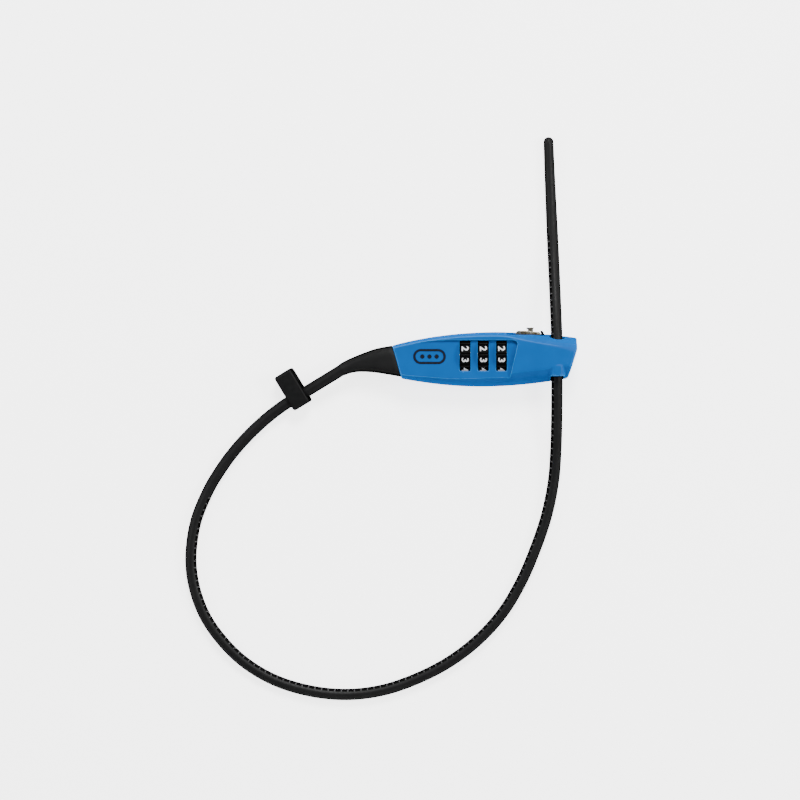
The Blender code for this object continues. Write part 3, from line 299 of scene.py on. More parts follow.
def loft(rings, hollow=False):
    mesh = bmesh.new()
    loops = [[mesh.verts.new(point) for point in ring] for ring in rings]
    pairs = list(zip(loops, loops[1:]))
    if hollow:
        pairs.append((loops[-1], loops[0]))
    for near, far in pairs:
        for i, vertex in enumerate(near):
            j = (i + 1) % len(near)
            mesh.faces.new((vertex, near[j], far[j], far[i]))
    if not hollow:
        mesh.faces.new(loops[0])
        mesh.faces.new(loops[-1])
    return mesh


def prism(outline, low, high, axis):
    """An outline extruded along an axis: (x, y) points for Z, (x, z) for Y and (y, z) for X."""
    places = {
        "X": lambda a, b, height: (height, a, b),
        "Y": lambda a, b, height: (a, height, b),
        "Z": lambda a, b, height: (a, b, height),
    }
    return loft([[places[axis](a, b, height) for a, b in outline] for height in (low, high)])


def rounded(outline, reach, steps=4):
    """An outline whose corners are turned into short curves that start reach away from them."""
    points = []
    for i, corner in enumerate(outline):
        corner = Vector(corner)
        before = Vector(outline[i - 1]) - corner
        after = Vector(outline[(i + 1) % len(outline)]) - corner
        start = corner + before * min(0.45, reach / before.length)
        end = corner + after * min(0.45, reach / after.length)
        for step in range(steps + 1):
            t = step / steps
            points.append(start * (1 - t) ** 2 + corner * 2 * t * (1 - t) + end * t**2)
    return points


def bevelled(mesh, width):
    """Rounds every edge of a convex block."""
    bmesh.ops.recalc_face_normals(mesh, faces=mesh.faces)
    edges = mesh.edges[:]
    bmesh.ops.bevel(mesh, geom=edges, offset=width, segments=2, affect="EDGES", profile=0.5)
    return mesh


def between(x, *knots):
    """The height of a broken line through knots at x, with its corners eased."""
    reaches = (-1.2, -0.6, 0, 0.6, 1.2)
    return sum(broken_line(knots, x + reach * MM) for reach in reaches) / len(reaches)


def broken_line(knots, x):
    if x <= knots[0][0]:
        return knots[0][1]
    for (x0, y0), (x1, y1) in zip(knots, knots[1:]):
        if x <= x1:
            return y0 + (y1 - y0) * (x - x0) / (x1 - x0)
    return knots[-1][1]


# ---- materials

NOISE_RANGE = (0.3, 0.7)  # where nearly all of a noise's values lie
MIX_FIRST, MIX_SECOND, MIX_RESULT = 6, 7, 2  # the colour sockets of a Mix node


def new_material(name, colour, roughness, metallic=0.0, **values):
    made = bpy.data.materials.new(name)
    made.use_nodes = True
    shader = made.node_tree.nodes["Principled BSDF"]
    shader.inputs["Base Color"].default_value = (*colour, 1)
    shader.inputs["Roughness"].default_value = roughness
    shader.inputs["Metallic"].default_value = metallic
    for socket, value in values.items():
        shader.inputs[socket.replace("_", " ")].default_value = value
    return made


def plug(made, socket, value):
    """Sets a socket to a plain value, or links it to another node's output."""
    if isinstance(value, bpy.types.NodeSocket):
        made.node_tree.links.new(value, socket)
    else:
        socket.default_value = value


def drive(made, socket, value):
    """Links a socket of the shader to another node's output."""
    plug(made, made.node_tree.nodes["Principled BSDF"].inputs[socket], value)


def new_node(made, kind, **inputs):
    """A new node of a material, its inputs set to plain values or linked to other outputs."""
    node = made.node_tree.nodes.new("ShaderNode" + kind)
    for name, value in inputs.items():
        plug(made, node.inputs[name.replace("_", " ")], value)
    return node


def noise(made, scale, detail, stretch=(1, 1, 1)):
    """A noise in the lock's own coordinates, with scale repeats to the metre."""
    place = new_node(made, "TexCoord").outputs["Object"]
    place = new_node(made, "Mapping", Vector=place, Scale=stretch).outputs["Vector"]
    return new_node(made, "TexNoise", Vector=place, Scale=scale, Detail=detail).outputs[0]


def colours(made, pattern, stops):
    """Drives the base colour by a ramp over a pattern: (place, colour) stops."""
    ramp = new_node(made, "ValToRGB", Fac=pattern)
    elements = ramp.color_ramp.elements
    while len(elements) < len(stops):
        elements.new(0.5)
    for element, (place, colour) in zip(elements, stops):
        element.position = place
        element.color = (*colour, 1)
    drive(made, "Base Color", ramp.outputs["Color"])
    return ramp.outputs["Color"]


def remapped(made, value, source, target):
    """A value carried over from a source range to a target range, each (low, high)."""
    spread = new_node(made, "MapRange", Value=value)
    for side, (low, high) in (("From", source), ("To", target)):
        spread.inputs[f"{side} Min"].default_value = low
        spread.inputs[f"{side} Max"].default_value = high
    return spread.outputs["Result"]


def mixed(made, blend, factor, first, second):
    """Two colours put together by a blend mode."""
    mix = new_node(made, "Mix", Factor=factor)
    mix.data_type = "RGBA"
    mix.blend_type = blend
    plug(made, mix.inputs[MIX_FIRST], first)
    plug(made, mix.inputs[MIX_SECOND], second)
    return mix.outputs[MIX_RESULT]


def varied(made, socket, pattern, low, high):
    """Drives a value of the shader between low and high by a pattern."""
    drive(made, socket, remapped(made, pattern, NOISE_RANGE, (low, high)))


def facing_up(made, tilts, target):
    """A value that runs through the target range as a face turns up, where tilts is the range of
    the normal's Z in which it does."""
    normal = new_node(made, "NewGeometry").outputs["Normal"]
    return remapped(made, new_node(made, "SeparateXYZ", Vector=normal).outputs["Z"], tilts, target)


def soft_flanks(made, most):
    """Takes the shine off upright faces, which would only mirror the pale floor."""
    drive(made, "Specular IOR Level", facing_up(made, (0.6, 0.95), (0, most)))


def bumps(made, *layers):
    """Stacks bump layers, each (pattern, depth in metres)."""
    below = {}
    for pattern, depth in layers:
        bump = new_node(made, "Bump", Strength=1.0, Distance=depth, Height=pattern, **below)
        below = {"Normal": bump.outputs["Normal"]}
    drive(made, "Normal", bump.outputs["Normal"])


def tinted(colour, share):
    return tuple(min(1.0, part * share) for part in colour)


def blue_paint():
    """Sprayed blue enamel: a slight orange peel, thinner and paler on the edges of the casting, where
    the paler blue is also a painted highlight along the creases.
    """
    blue, worn_and_highlight_blue = (0.004, 0.074, 0.278), (0.022, 0.16, 0.45, 1)
    made = new_material("blue_enamel", blue, 0.32)
    soft_flanks(made, 0.06)
    base = colours(made, noise(made, 130, 4), [(0.3, tinted(blue, 0.94)), (0.7, tinted(blue, 1.06))])
    marks = new_node(made, "Attribute")
    marks.attribute_name = EDGE_MARKS
    # painted highlight: sharp edges and creases turn a paler blue, partly thinner paint and partly a
    # stand-in for the shine along them
    wear_and_highlight = remapped(made, marks.outputs["Fac"], (0.16, 0.6), (0, 0.75))
    drive(made, "Base Color", mixed(made, "MIX", wear_and_highlight, base, worn_and_highlight_blue))
    varied(made, "Roughness", noise(made, 420, 3), 0.28, 0.38)
    peel, dust_and_side_shade = noise(made, 900, 2), noise(made, 5200, 2)
    bumps(made, (peel, 0.012 * MM), (dust_and_side_shade, 0.002 * MM))
    return made


def moulded_black(name, grey, roughness, grain=2600, depth=0.006 * MM, shine=0.12, upright=0.35):
    """Black plastic or rubber with a fine moulded grain. Upright faces keep a share of its grey:
    painted shade that darkens the sides as if lit from above.
    """
    made = new_material(name, (grey, grey, grey), roughness)
    soft_flanks(made, shine)
    low, high = grey * 0.82, grey * 1.2
    stops = [(0.3, (low, low, low * 1.04)), (0.7, (high, high, high * 1.03))]
    base = colours(made, noise(made, 160, 5), stops)
    # painted shade: the base colour darkens as faces turn upright, down to the upright share
    dust_and_side_shade = facing_up(made, (0.35, 0.9), (upright, 1))
    drive(made, "Base Color", mixed(made, "MULTIPLY", 1, base, dust_and_side_shade))
    varied(made, "Roughness", noise(made, 700, 5), roughness - 0.07, roughness + 0.07)
    bumps(made, (noise(made, 320, 1), 0.01 * MM), (noise(made, grain, 3), depth))
    return made


def aged_nickel():
    """Plated metal that has yellowed in patches, with fine wear lines."""
    made = new_material("aged_nickel", (0.15, 0.13, 0.10), 0.35, 0.8)
    soft_flanks(made, 0.3)
    stops = [(0.32, (0.05, 0.036, 0.014)), (0.48, (0.11, 0.10, 0.07)), (0.62, (0.14, 0.14, 0.13))]
    colours(made, noise(made, 480, 5), stops)
    varied(made, "Roughness", noise(made, 1400, 4), 0.2, 0.45)
    bumps(made, (noise(made, 900, 4, (0.15, 1, 1)), 0.012 * MM))
    return made


def turned_metal(name, colour, roughness):
    """Machined metal with fine tool marks along X and a slight tarnish."""
    made = new_material(name, colour, roughness, 1.0)
    stops = [(0.3, tinted(colour, 0.75)), (0.7, tinted(colour, 1.12))]
    colours(made, noise(made, 500, 4), stops)
    marks = noise(made, 2200, 3, (1, 0.12, 0.12))
    varied(made, "Roughness", marks, roughness - 0.08, roughness + 0.1)
    bumps(made, (marks, 0.006 * MM))
    return made


def print_ink(name, colour):
    """Pad-printed ink with a thin, slightly uneven film."""
    made = new_material(name, colour, 0.5, Specular_IOR_Level=0.1)
    film = noise(made, 1600, 4)
    colours(made, film, [(0.25, tinted(colour, 0.86)), (0.65, colour)])
    varied(made, "Roughness", film, 0.38, 0.55)
    bumps(made, (film, 0.006 * MM))
    return made


# ---- camera, light and floor


def set_stage():
    centre = Vector((-31.56 * MM, -16.95 * MM, 10 * MM))
    distance, lens = 1.503, 178
    camera = add_object("camera", bpy.data.cameras.new("camera"), centre + UP * distance)
    camera.data.lens = lens
    camera.data.sensor_width = 36
    camera.data.clip_end = 10
    bpy.context.scene.camera = camera

    for name, location, size, power in (
        ("key", (0.05, 0.7, 0.9), 0.4, 19),
        ("side_left", (-0.85, 0.1, 0.7), 0.5, 4),
        ("side_right", (0.75, 0.1, 0.8), 0.35, 8),
        ("front", (0.0, -0.8, 0.7), 0.5, 1.5),
    ):
        light = bpy.data.lights.new(name, "AREA")
        light.shape = "DISK"
        light.size = size
        light.energy = power
        lamp = add_object(name, light, location)
        lamp.rotation_euler = (centre - Vector(location)).to_track_quat("-Z", "Y").to_euler()

    world = bpy.data.worlds.new("studio")
    bpy.context.scene.world = world
    world.use_nodes = True
    background = world.node_tree.nodes["Background"]
    background.inputs["Color"].default_value = (1, 1, 1, 1)
    background.inputs["Strength"].default_value = 0.25

    grid = bmesh.new()
    bmesh.ops.create_grid(grid, x_segments=4, y_segments=4, size=4)
    data = bpy.data.meshes.new("floor")
    grid.to_mesh(data)
    grid.free()
    paper = new_material("floor_paper", (0.9, 0.9, 0.9), 0.9, Emission_Strength=3.2)
    paper.node_tree.nodes["Principled BSDF"].inputs["Emission Color"].default_value = (1, 1, 1, 1)
    data.materials.append(paper)
    add_object("floor", data, (0, 0, -0.2 * MM))


# ---- housing


def edge_y(x, crown_x, crown, left_end, right_end):
    end_x, end = (BODY_LEFT, left_end) if x < crown_x else (BODY_RIGHT, right_end)
    return crown - (crown - end) * ((x - crown_x) / (end_x - crown_x)) ** 2


def body_edges(x):
    low = edge_y(x, -0.8 * MM, BODY_BOTTOM, LEFT_END_BOTTOM, RIGHT_END_BOTTOM)
    high = edge_y(x, 5.0 * MM, BODY_TOP, LEFT_END_TOP, RIGHT_END_TOP)
    return low, high


def body_x(x, y):
    """Where a cross-section through x on the dial axis meets the line at y, as the ends slant."""
    share = (x - BODY_LEFT) / (BODY_RIGHT - BODY_LEFT)
    return x + y * (LEFT_SLANT + (RIGHT_SLANT - LEFT_SLANT) * share)


def body_section(x, inset):
    low, high = body_edges(x)
    lower_crease = between(
        x,
        (BODY_LEFT, low + 1.4 * MM),
        (BODY_LEFT + 12 * MM, low + 2.4 * MM),
        (HEAD_START, PANEL_TOP_Y - 13.8 * MM),
        (HEAD_START + 1.6 * MM, -6.8 * MM),
        (STRAP_X - 2.8 * MM, -5.2 * MM),
        (STRAP_X - 1.0 * MM, -4.6 * MM),
        (STRAP_X + 2.4 * MM, -4.0 * MM),
        (BODY_RIGHT, -4.0 * MM),
    )
    upper_crease = between(
        x,
        (BODY_LEFT, high - 1.1 * MM),
        (DIAL_X[-1] + 1.0 * MM, high - 1.8 * MM),
        (STRAP_X - 4.0 * MM, 3.9 * MM),
        (BODY_RIGHT, 1.3 * MM),
    )
    shoulder = between(
        x,
        (BODY_LEFT, 0.2 * MM),
        (STRAP_X - 5.0 * MM, 0.25 * MM),
        (BODY_RIGHT, 1.6 * MM),
    )
    lower_z = between(
        x,
        (HEAD_START, PANEL_Z + 0.15 * MM),
        (HEAD_START + 2.2 * MM, HEAD_Z),
        (STRAP_X, HEAD_Z),
        (BODY_RIGHT, HEAD_Z - 0.7 * MM),
    )
    upper_z = between(
        x,
        (BODY_LEFT, PANEL_Z - 0.1 * MM),
        (BODY_LEFT + 8 * MM, PANEL_Z),
        (DIAL_X[0] - 8 * MM, HEAD_Z - 0.7 * MM),
        (DIAL_X[-1], HEAD_Z),
        (STRAP_X, HEAD_Z),
        (BODY_RIGHT, HEAD_Z - 0.7 * MM),
    )
    bulge = between(x, (STRAP_X - 8 * MM, 0.22), (STRAP_X - 3 * MM, 0.38), (BODY_RIGHT, 0.38))
    below, above = lower_crease - low, high - upper_crease - shoulder
    waist = AXIS_Z - 1.2 * MM
    shoulder_z = upper_z - 0.35 * shoulder
    outline = [
        (low + 0.8 * MM, 0),
        (low + 0.25 * MM, 0.35 * MM),
        (low, 1.3 * MM),
        (low, waist),
        (low + 0.28 * below, waist + 0.5 * (lower_z - waist)),
        (low + 0.62 * below, waist + 0.82 * (lower_z - waist)),
        (lower_crease, lower_z),
        (upper_crease, upper_z),
        (upper_crease + shoulder, shoulder_z),
        (high - (0.48 + 0.55 * bulge) * above, waist + 0.84 * (shoulder_z - waist)),
        (high - bulge * above, waist + 0.5 * (shoulder_z - waist)),
        (high, waist),
        (high, 1.3 * MM),
        (high - 0.25 * MM, 0.35 * MM),
        (high - 0.8 * MM, 0),
    ]
    middle_y, middle_z = (low + high) / 2, upper_z / 2
    shrink_y = 1 - 2 * inset / (high - low)
    shrink_z = 1 - 2 * inset / upper_z
    return [
        (middle_y + (y - middle_y) * shrink_y, middle_z + (z - middle_z) * shrink_z)
        for y, z in rounded(outline, 0.5 * MM, 3)
    ]


def body_shell():
    """The outside of the casting: sections along X, drawn in round the rims of both ends."""
    left_round, left_inset = 0.45 * MM, 0.35 * MM
    right_round, right_inset = 0.9 * MM, 0.8 * MM
    start, end = BODY_LEFT + left_round, BODY_RIGHT - right_round
    rim_steps, length_steps = 6, 80
    stations = []
    for step in range(rim_steps):
        angle = math.pi / 2 * step / rim_steps
        x = BODY_LEFT + left_round * (1 - math.cos(angle))
        stations.append((x, left_inset * (1 - math.sin(angle))))
    for step in range(length_steps + 1):
        stations.append((start + (end - start) * step / length_steps, 0))
    for step in range(1, rim_steps + 1):
        angle = math.pi / 2 * step / rim_steps
        x = end + right_round * math.sin(angle)
        stations.append((x, right_inset * (1 - math.cos(angle))))
    rings = []
    for x, inset in stations:
        rings.append([(body_x(x, y), y, z) for y, z in body_section(x, inset)])
    return loft(rings)


def panel_outline():
    """The recessed panel seen from above. It runs out over the left end and the lower side."""
    right = DIAL_X[-1] + 6.0 * MM
    corner = 1.6 * MM
    lean = 0.237  # of the right edge, which follows the slant of the head
    points = []
    for from_left, fall in ((-8, 3.4), (2, 2.05), (6.5, 1.2), (11, 0.6), (16, 0.2), (21, 0)):
        points.append((BODY_LEFT + from_left * MM, PANEL_TOP_Y - fall * MM))
    for degrees in range(90, 0, -10):
        angle = math.radians(degrees)
        x = right - corner + corner * math.cos(angle)
        points.append((x, PANEL_TOP_Y - corner + corner * math.sin(angle)))
    lowest = BODY_BOTTOM - 5 * MM
    points.append((right - lean * (PANEL_TOP_Y - corner - lowest), lowest))
    points.append((BODY_LEFT - 8 * MM, lowest))
    return points


def cover_outline(inset):
    lower, upper = [], []
    left, right = BODY_LEFT + inset, BODY_RIGHT - inset
    steps = 16
    for i in range(steps + 1):
        x = left + (right - left) * i / steps
        low, high = body_edges(x)
        corner = 0.6 * MM if i in (0, steps) else 0
        lower.append((body_x(x, low + inset + corner), low + inset + corner))
        upper.append((body_x(x, high - inset - corner), high - inset - corner))
    return lower + upper[::-1]


def anchor_line():
    """Where the ferrule's pocket starts and ends, and the way out of the slanted left end."""
    outward = Vector((-1, LEFT_SLANT, 0)).normalized()
    face = Vector((BODY_LEFT - LEFT_SLANT * 2.36 * MM, -2.36 * MM, AXIS_Z - 1.9 * MM))
    near = face - outward * 1.6 * MM
    far = near - outward * (7.0 * MM + 2 * GAP)
    return face, near, far, outward


def spindle_hollows():
    """The arched slot for the code rings, the bore for the spindle's spring and the comb's pocket."""
    arch = 3.7 * MM
    slot_x = (span("locking_spindle", 0)[0] + 3.0 * MM - 0.9 * MM, CHAMBER_LEFT + 0.5 * MM)
    bore_end = slot_x[0] + 1 * MM
    roof = [(arch, HOLLOW_FLOOR)]
    for step in range(25):
        angle = math.pi * step / 24
        roof.append((arch * math.cos(angle), AXIS_Z + arch * math.sin(angle)))
    roof.append((-arch, HOLLOW_FLOOR))
    spring_start = span("spindle_spring", 0, 2 * GAP)[0]
    spring_low, spring_high = span("spindle_spring", 2)
    spring_radius = (spring_high - spring_low) / 2 + 0.25 * MM
    comb_x = (span("reset_comb", 0)[0] - GAP, bore_end)
    return [
        prism(roof, *slot_x, "X"),
        rod((spring_start, 0, AXIS_Z), (bore_end, 0, AXIS_Z), spring_radius),
        box(comb_x, around(0, 2.3 * MM), (HOLLOW_FLOOR, COVER_TOP + 0.8 * MM)),
    ]


def slide_hollows():
    """The release carriage's chamber and the pawl's guide, which runs into the strap's channel."""
    right = span("pawl", 0)[1] - 1.5 * MM
    chamber_z = (HOLLOW_FLOOR, span("release_carriage", 2)[1] + GAP)
    return [
        box((CHAMBER_LEFT, right), span("release_carriage", 1, GAP), chamber_z),
        box((right - 0.5 * MM, STRAP_X), span("pawl", 1, GAP), around(AXIS_Z, 2.3 * MM)),
    ]


def button_hollows():
    """The slider's landing in two cuts, the upper one a little wider, and the slot for its stem."""
    left, right = span("release_button", 0, GAP)
    left -= RELEASE_TRAVEL
    above, stem = BODY_TOP + 4 * MM, middle("release_button")
    half_stem = 1.7 * MM
    wide_x = (left - 0.2 * MM, right + 0.31 * MM)
    wide_y = (LANDING_Y + 0.27 * MM, above + 0.6 * MM)
    stem_x = (stem.x - half_stem - RELEASE_TRAVEL, stem.x + half_stem)
    stem_y = (span("release_carriage", 1)[1], above)
    return [
        box((left, right + 0.13 * MM), (LANDING_Y, above), span("release_button", 2, GAP)),
        box(wide_x, wide_y, (stem.z - 0.33 * MM, HEAD_Z + 3.3 * MM)),
        box(stem_x, stem_y, around(stem.z, 1.3 * MM)),
    ]


def click_hollows():
    """The click spring's pocket, and its window into each dial's well."""
    leaf_x, leaf_y, leaf_z = (span("dial_click_spring", axis, GAP) for axis in range(3))
    pocket_y = (leaf_y[0], -WELL_RADIUS - 0.9 * MM)
    window_y = (-WELL_RADIUS - 1.3 * MM, -WELL_RADIUS + 0.6 * MM)
    hollows = [box(leaf_x, pocket_y, (HOLLOW_FLOOR, leaf_z[1] + 0.15 * MM))]
    for x in DIAL_X:
        hollows.append(box(around(x, HALF_WELL), window_y, leaf_z))
    return hollows


def anchor_hollows():
    """The ferrule's pocket, open towards the cover, and the core's way out of the left end."""
    face, near, far, outward = anchor_line()
    pocket, core_bore = 2.8 * MM, 1.25 * MM
    side = Vector((-outward.y, outward.x, 0)) * (pocket - 0.1 * MM)
    mouth_near, mouth_far = near + outward * 0.2 * MM, far - outward * 0.2 * MM
    corners = [mouth_near + side, mouth_near - side, mouth_far - side, mouth_far + side]
    return [
        rod(near, far, pocket),
        prism([(p.x, p.y) for p in corners], HOLLOW_FLOOR, face.z, "Z"),
        rod(near - outward * 1.3 * MM, face + outward * 4 * MM, core_bore, 31),
    ]


def rivet_hollows():
    """A blind hole over each of the cover's four rivets."""
    hollows = []
    for number in range(1, 5):
        rivet = middle(f"cover_rivet_{number}")
        top = span(f"cover_rivet_{number}", 2)[1] + 2 * GAP
        hollows.append(rod((rivet.x, rivet.y, HOLLOW_FLOOR), (rivet.x, rivet.y, top), 1.1 * MM, 20))
    return hollows


def inner_hollows():
    """What the housing holds inside: each hollow follows its own CAD node with a small gap."""
    hollows = [prism(cover_outline(RIM_WALL), -1 * MM, COVER_TOP, "Z")]
    hollows += spindle_hollows() + slide_hollows() + button_hollows()
    return hollows + click_hollows() + anchor_hollows() + rivet_hollows()


def strap_boss():
    """The raised, squarish tube round the strap's lower way in, which narrows into the head."""
    segments, half_width, rise_above, rise_below = 44, 3.0 * MM, 6.35 * MM, 3.4 * MM
    rings = []
    for y, share in ((-8.0, 0.96), (-7.85, 1.0), (-4.2, 1.0), (-3.7, 0.99), (-3.3, 0.9), (1.0, 0.8)):
        ring = []
        for step in range(segments):
            angle = 2 * math.pi * (step + 0.5) / segments
            c, s = math.cos(angle), math.sin(angle)
            rise = rise_above if s > 0 else rise_below
            spread = (abs(c) ** 4 + abs(s) ** 4) ** -0.25
            x = STRAP_X + half_width * share * spread * c
            ring.append((x, y * MM, AXIS_Z + rise * share * spread * s))
        rings.append(ring)
    return loft(rings)


def housing(finish):
    """The casting: shell and boss, less the panel, dial wells, strap channel and inner hollows."""
    cuts = [prism(panel_outline(), PANEL_Z, HEAD_Z + 5 * MM, "Z")]
    beyond = (BODY_REACH, BODY_REACH + 5 * MM)
    cuts.append(box(beyond, (-20 * MM, 20 * MM), (-5 * MM, 25 * MM)))
    for x in DIAL_X:
        cuts.append(rod((x - HALF_WELL, 0, AXIS_Z), (x + HALF_WELL, 0, AXIS_Z), WELL_RADIUS, 96))
    above, below = BODY_TOP + 4 * MM, BODY_BOTTOM - 4 * MM
    cuts.append(rod((STRAP_X, below, AXIS_Z), (STRAP_X, above, AXIS_Z), CHANNEL_RADIUS, 64))
    countersink = (STRAP_X, 4.1 * MM, AXIS_Z), (STRAP_X, 9 * MM, AXIS_Z)
    cuts.append(rod(*countersink, CHANNEL_RADIUS - 0.5 * MM, 52, CHANNEL_RADIUS + 1.2 * MM))
    mouth_x = around(STRAP_X, CHANNEL_RADIUS - 0.1 * MM)
    cuts.append(box(mouth_x, (below, -7.9 * MM), (AXIS_Z, HEAD_Z + 4 * MM)))
    cuts += inner_hollows()
    mesh = carved(
        body_shell(), [strap_boss()], cuts, voxel=0.22 * MM, smoothing=4, most_triangles=190_000
    )
    mark_edges(mesh)
    piece = place_piece("housing_casting", mesh, finish, "housing", 60)
    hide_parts("front_housing")


def panel_mark(finish):
    """A plain printed badge: a bar with rounded ends round three dots, one for each dial."""
    centre = Vector((-20.4 * MM, -0.5 * MM))
    half, radius, stroke = 6.2 * MM, 2.9 * MM, 0.95 * MM
    dot_radius, dot_pitch = 0.86 * MM, 2.7 * MM
    low, high = PANEL_Z - 0.08 * MM, PANEL_Z + 0.035 * MM

    def bar(shrink):
        outline = []
        for end, start in ((1, -90), (-1, 90)):
            for step in range(17):
                angle = math.radians(start + 180 * step / 16)
                x = centre.x + end * (half - radius) + (radius - shrink) * math.cos(angle)
                outline.append((x, centre.y + (radius - shrink) * math.sin(angle)))
        return outline

    rings = []
    for shrink, z in ((0, low), (0, high), (stroke, high), (stroke, low)):
        rings.append([(x, y, z) for x, y in bar(shrink)])
    new_piece("badge_bar", loft(rings, hollow=True), finish, "housing")
    dots = bmesh.new()
    for i in (-1, 0, 1):
        matrix = Matrix.Translation((centre.x + i * dot_pitch, centre.y, (low + high) / 2))
        add_cone(dots, dot_radius, dot_radius - 0.02 * MM, high - low, 28, matrix)
    new_piece("badge_dots", dots, finish, "housing")


# ---- dials


def on_dial(x, radius, angle):
    """A point at an angle round the dials' axis, where 0 is up and a quarter turn is towards -Y."""
    return x, -radius * math.sin(angle), AXIS_Z + radius * math.cos(angle)


def dial_wheel(number, x, finish):
    """A number wheel with rounded rims, a grip notch between digits and keyways in its bore."""
    half, rim, rim_steps = DIAL_HALF_WIDTH + 0.12 * MM, 0.3 * MM, 4
    outer = DIAL_RADIUS - 0.06 * MM
    bore, wide, keyway = 4.65 * MM, 5.7 * MM, 0.7 * MM
    step_x = -half + 1.2 * MM  # where the bore widens
    outline = [(-half, bore, "key"), (-half, outer - rim, "")]
    for side, steps in ((-1, range(1, rim_steps + 1)), (1, range(rim_steps, 0, -1))):
        for step in steps:
            angle = math.pi / 2 * step / rim_steps
            along = side * (half - rim * (1 - math.cos(angle)))
            outline.append((along, outer - rim * (1 - math.sin(angle)), "grip"))
    outline += [(half, outer - rim, ""), (half, wide, ""), (step_x, wide, ""), (step_x, bore, "key")]
    turn = 2 * math.pi / DIAL_POSITIONS
    key_half, grip_half, grip_depth = 0.75 * MM / bore, 0.55 * MM / outer, 0.32 * MM
    rings = []
    for half_degree in range(720):
        angle = math.radians(half_degree / 2)
        from_key = abs((angle + turn / 2) % turn - turn / 2)
        from_grip = abs((angle - DIGIT_TURN) % turn - turn / 2)
        ring = []
        for along, radius, kind in outline:
            if kind == "key" and from_key < key_half:
                radius += keyway
            if kind == "grip" and from_grip < grip_half:
                radius -= grip_depth * math.cos(math.pi / 2 * from_grip / grip_half) ** 0.5
            ring.append(on_dial(x + along, radius, angle))
        rings.append(ring)
    wheel = loft(rings, hollow=True)
    piece = new_piece(f"dial_{number}_wheel", wheel, finish, f"dial_{number}")
    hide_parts(f"number_dial_{number}")


def flat_digit(digit):
    """One numeral as a flat mesh, centred, one unit high, cut into strips that can bend."""
    strip, tiny = 0.07, 1e-5
    curve = bpy.data.curves.new("digit", "FONT")
    curve.body = str(digit)
    curve.offset = 0.016  # thickens the strokes
    curve.resolution_u = 5
    text = add_object("digit", curve)
    bpy.context.view_layer.update()
    mesh = bmesh.new()
    mesh.from_mesh(evaluated(text))
    bpy.data.objects.remove(text)
    bmesh.ops.remove_doubles(mesh, verts=mesh.verts, dist=tiny)
    xs = [v.co.x for v in mesh.verts]
    ys = [v.co.y for v in mesh.verts]
    height = max(ys) - min(ys)
    centre = Vector(((max(xs) + min(xs)) / 2, (max(ys) + min(ys)) / 2, 0))
    for vertex in mesh.verts:
        vertex.co = (vertex.co - centre) / height
    for step in range(-6, 7):
        whole = mesh.verts[:] + mesh.edges[:] + mesh.faces[:]
        cut = (strip * step, 0, 0)
        bmesh.ops.bisect_plane(mesh, geom=whole, plane_co=cut, plane_no=(1, 0, 0), dist=tiny)
    return mesh


def dial_digits(number, x, flat_digits, finish):
    """Raised printed numerals wrapped round a wheel, their tops towards +X."""
    height, stretch, lift = 2.6 * MM, 1.17, 0.05 * MM
    bottom, top = DIAL_RADIUS - 0.16 * MM, DIAL_RADIUS - 0.06 * MM + lift
    whole = bmesh.new()
    for digit, (points, faces, borders) in enumerate(flat_digits):
        turn = DIGIT_TURN + 2 * math.pi * (digit - 3) / DIAL_POSITIONS
        layers = []
        for radius in (bottom, top):
            layer = []
            for across, up in points:
                angle = turn + across * height * stretch / DIAL_RADIUS
                layer.append(whole.verts.new(on_dial(x + up * height, radius, angle)))
            layers.append(layer)
        low, high = layers
        for face in faces:
            whole.faces.new([high[i] for i in face])
            whole.faces.new([low[i] for i in reversed(face)])
        for a, b in borders:
            whole.faces.new((low[a], low[b], high[b], high[a]))
    new_piece(f"dial_{number}_digits", whole, finish, f"dial_{number}", 30)


def read_flat(mesh):
    """A flat mesh's points, faces and border edges. The mesh is used up."""
    mesh.verts.index_update()
    points = [(v.co.x, v.co.y) for v in mesh.verts]
    faces = [[v.index for v in f.verts] for f in mesh.faces]
    borders = [[v.index for v in e.verts] for e in mesh.edges if len(e.link_faces) == 1]
    mesh.free()
    return points, faces, borders


# ---- button


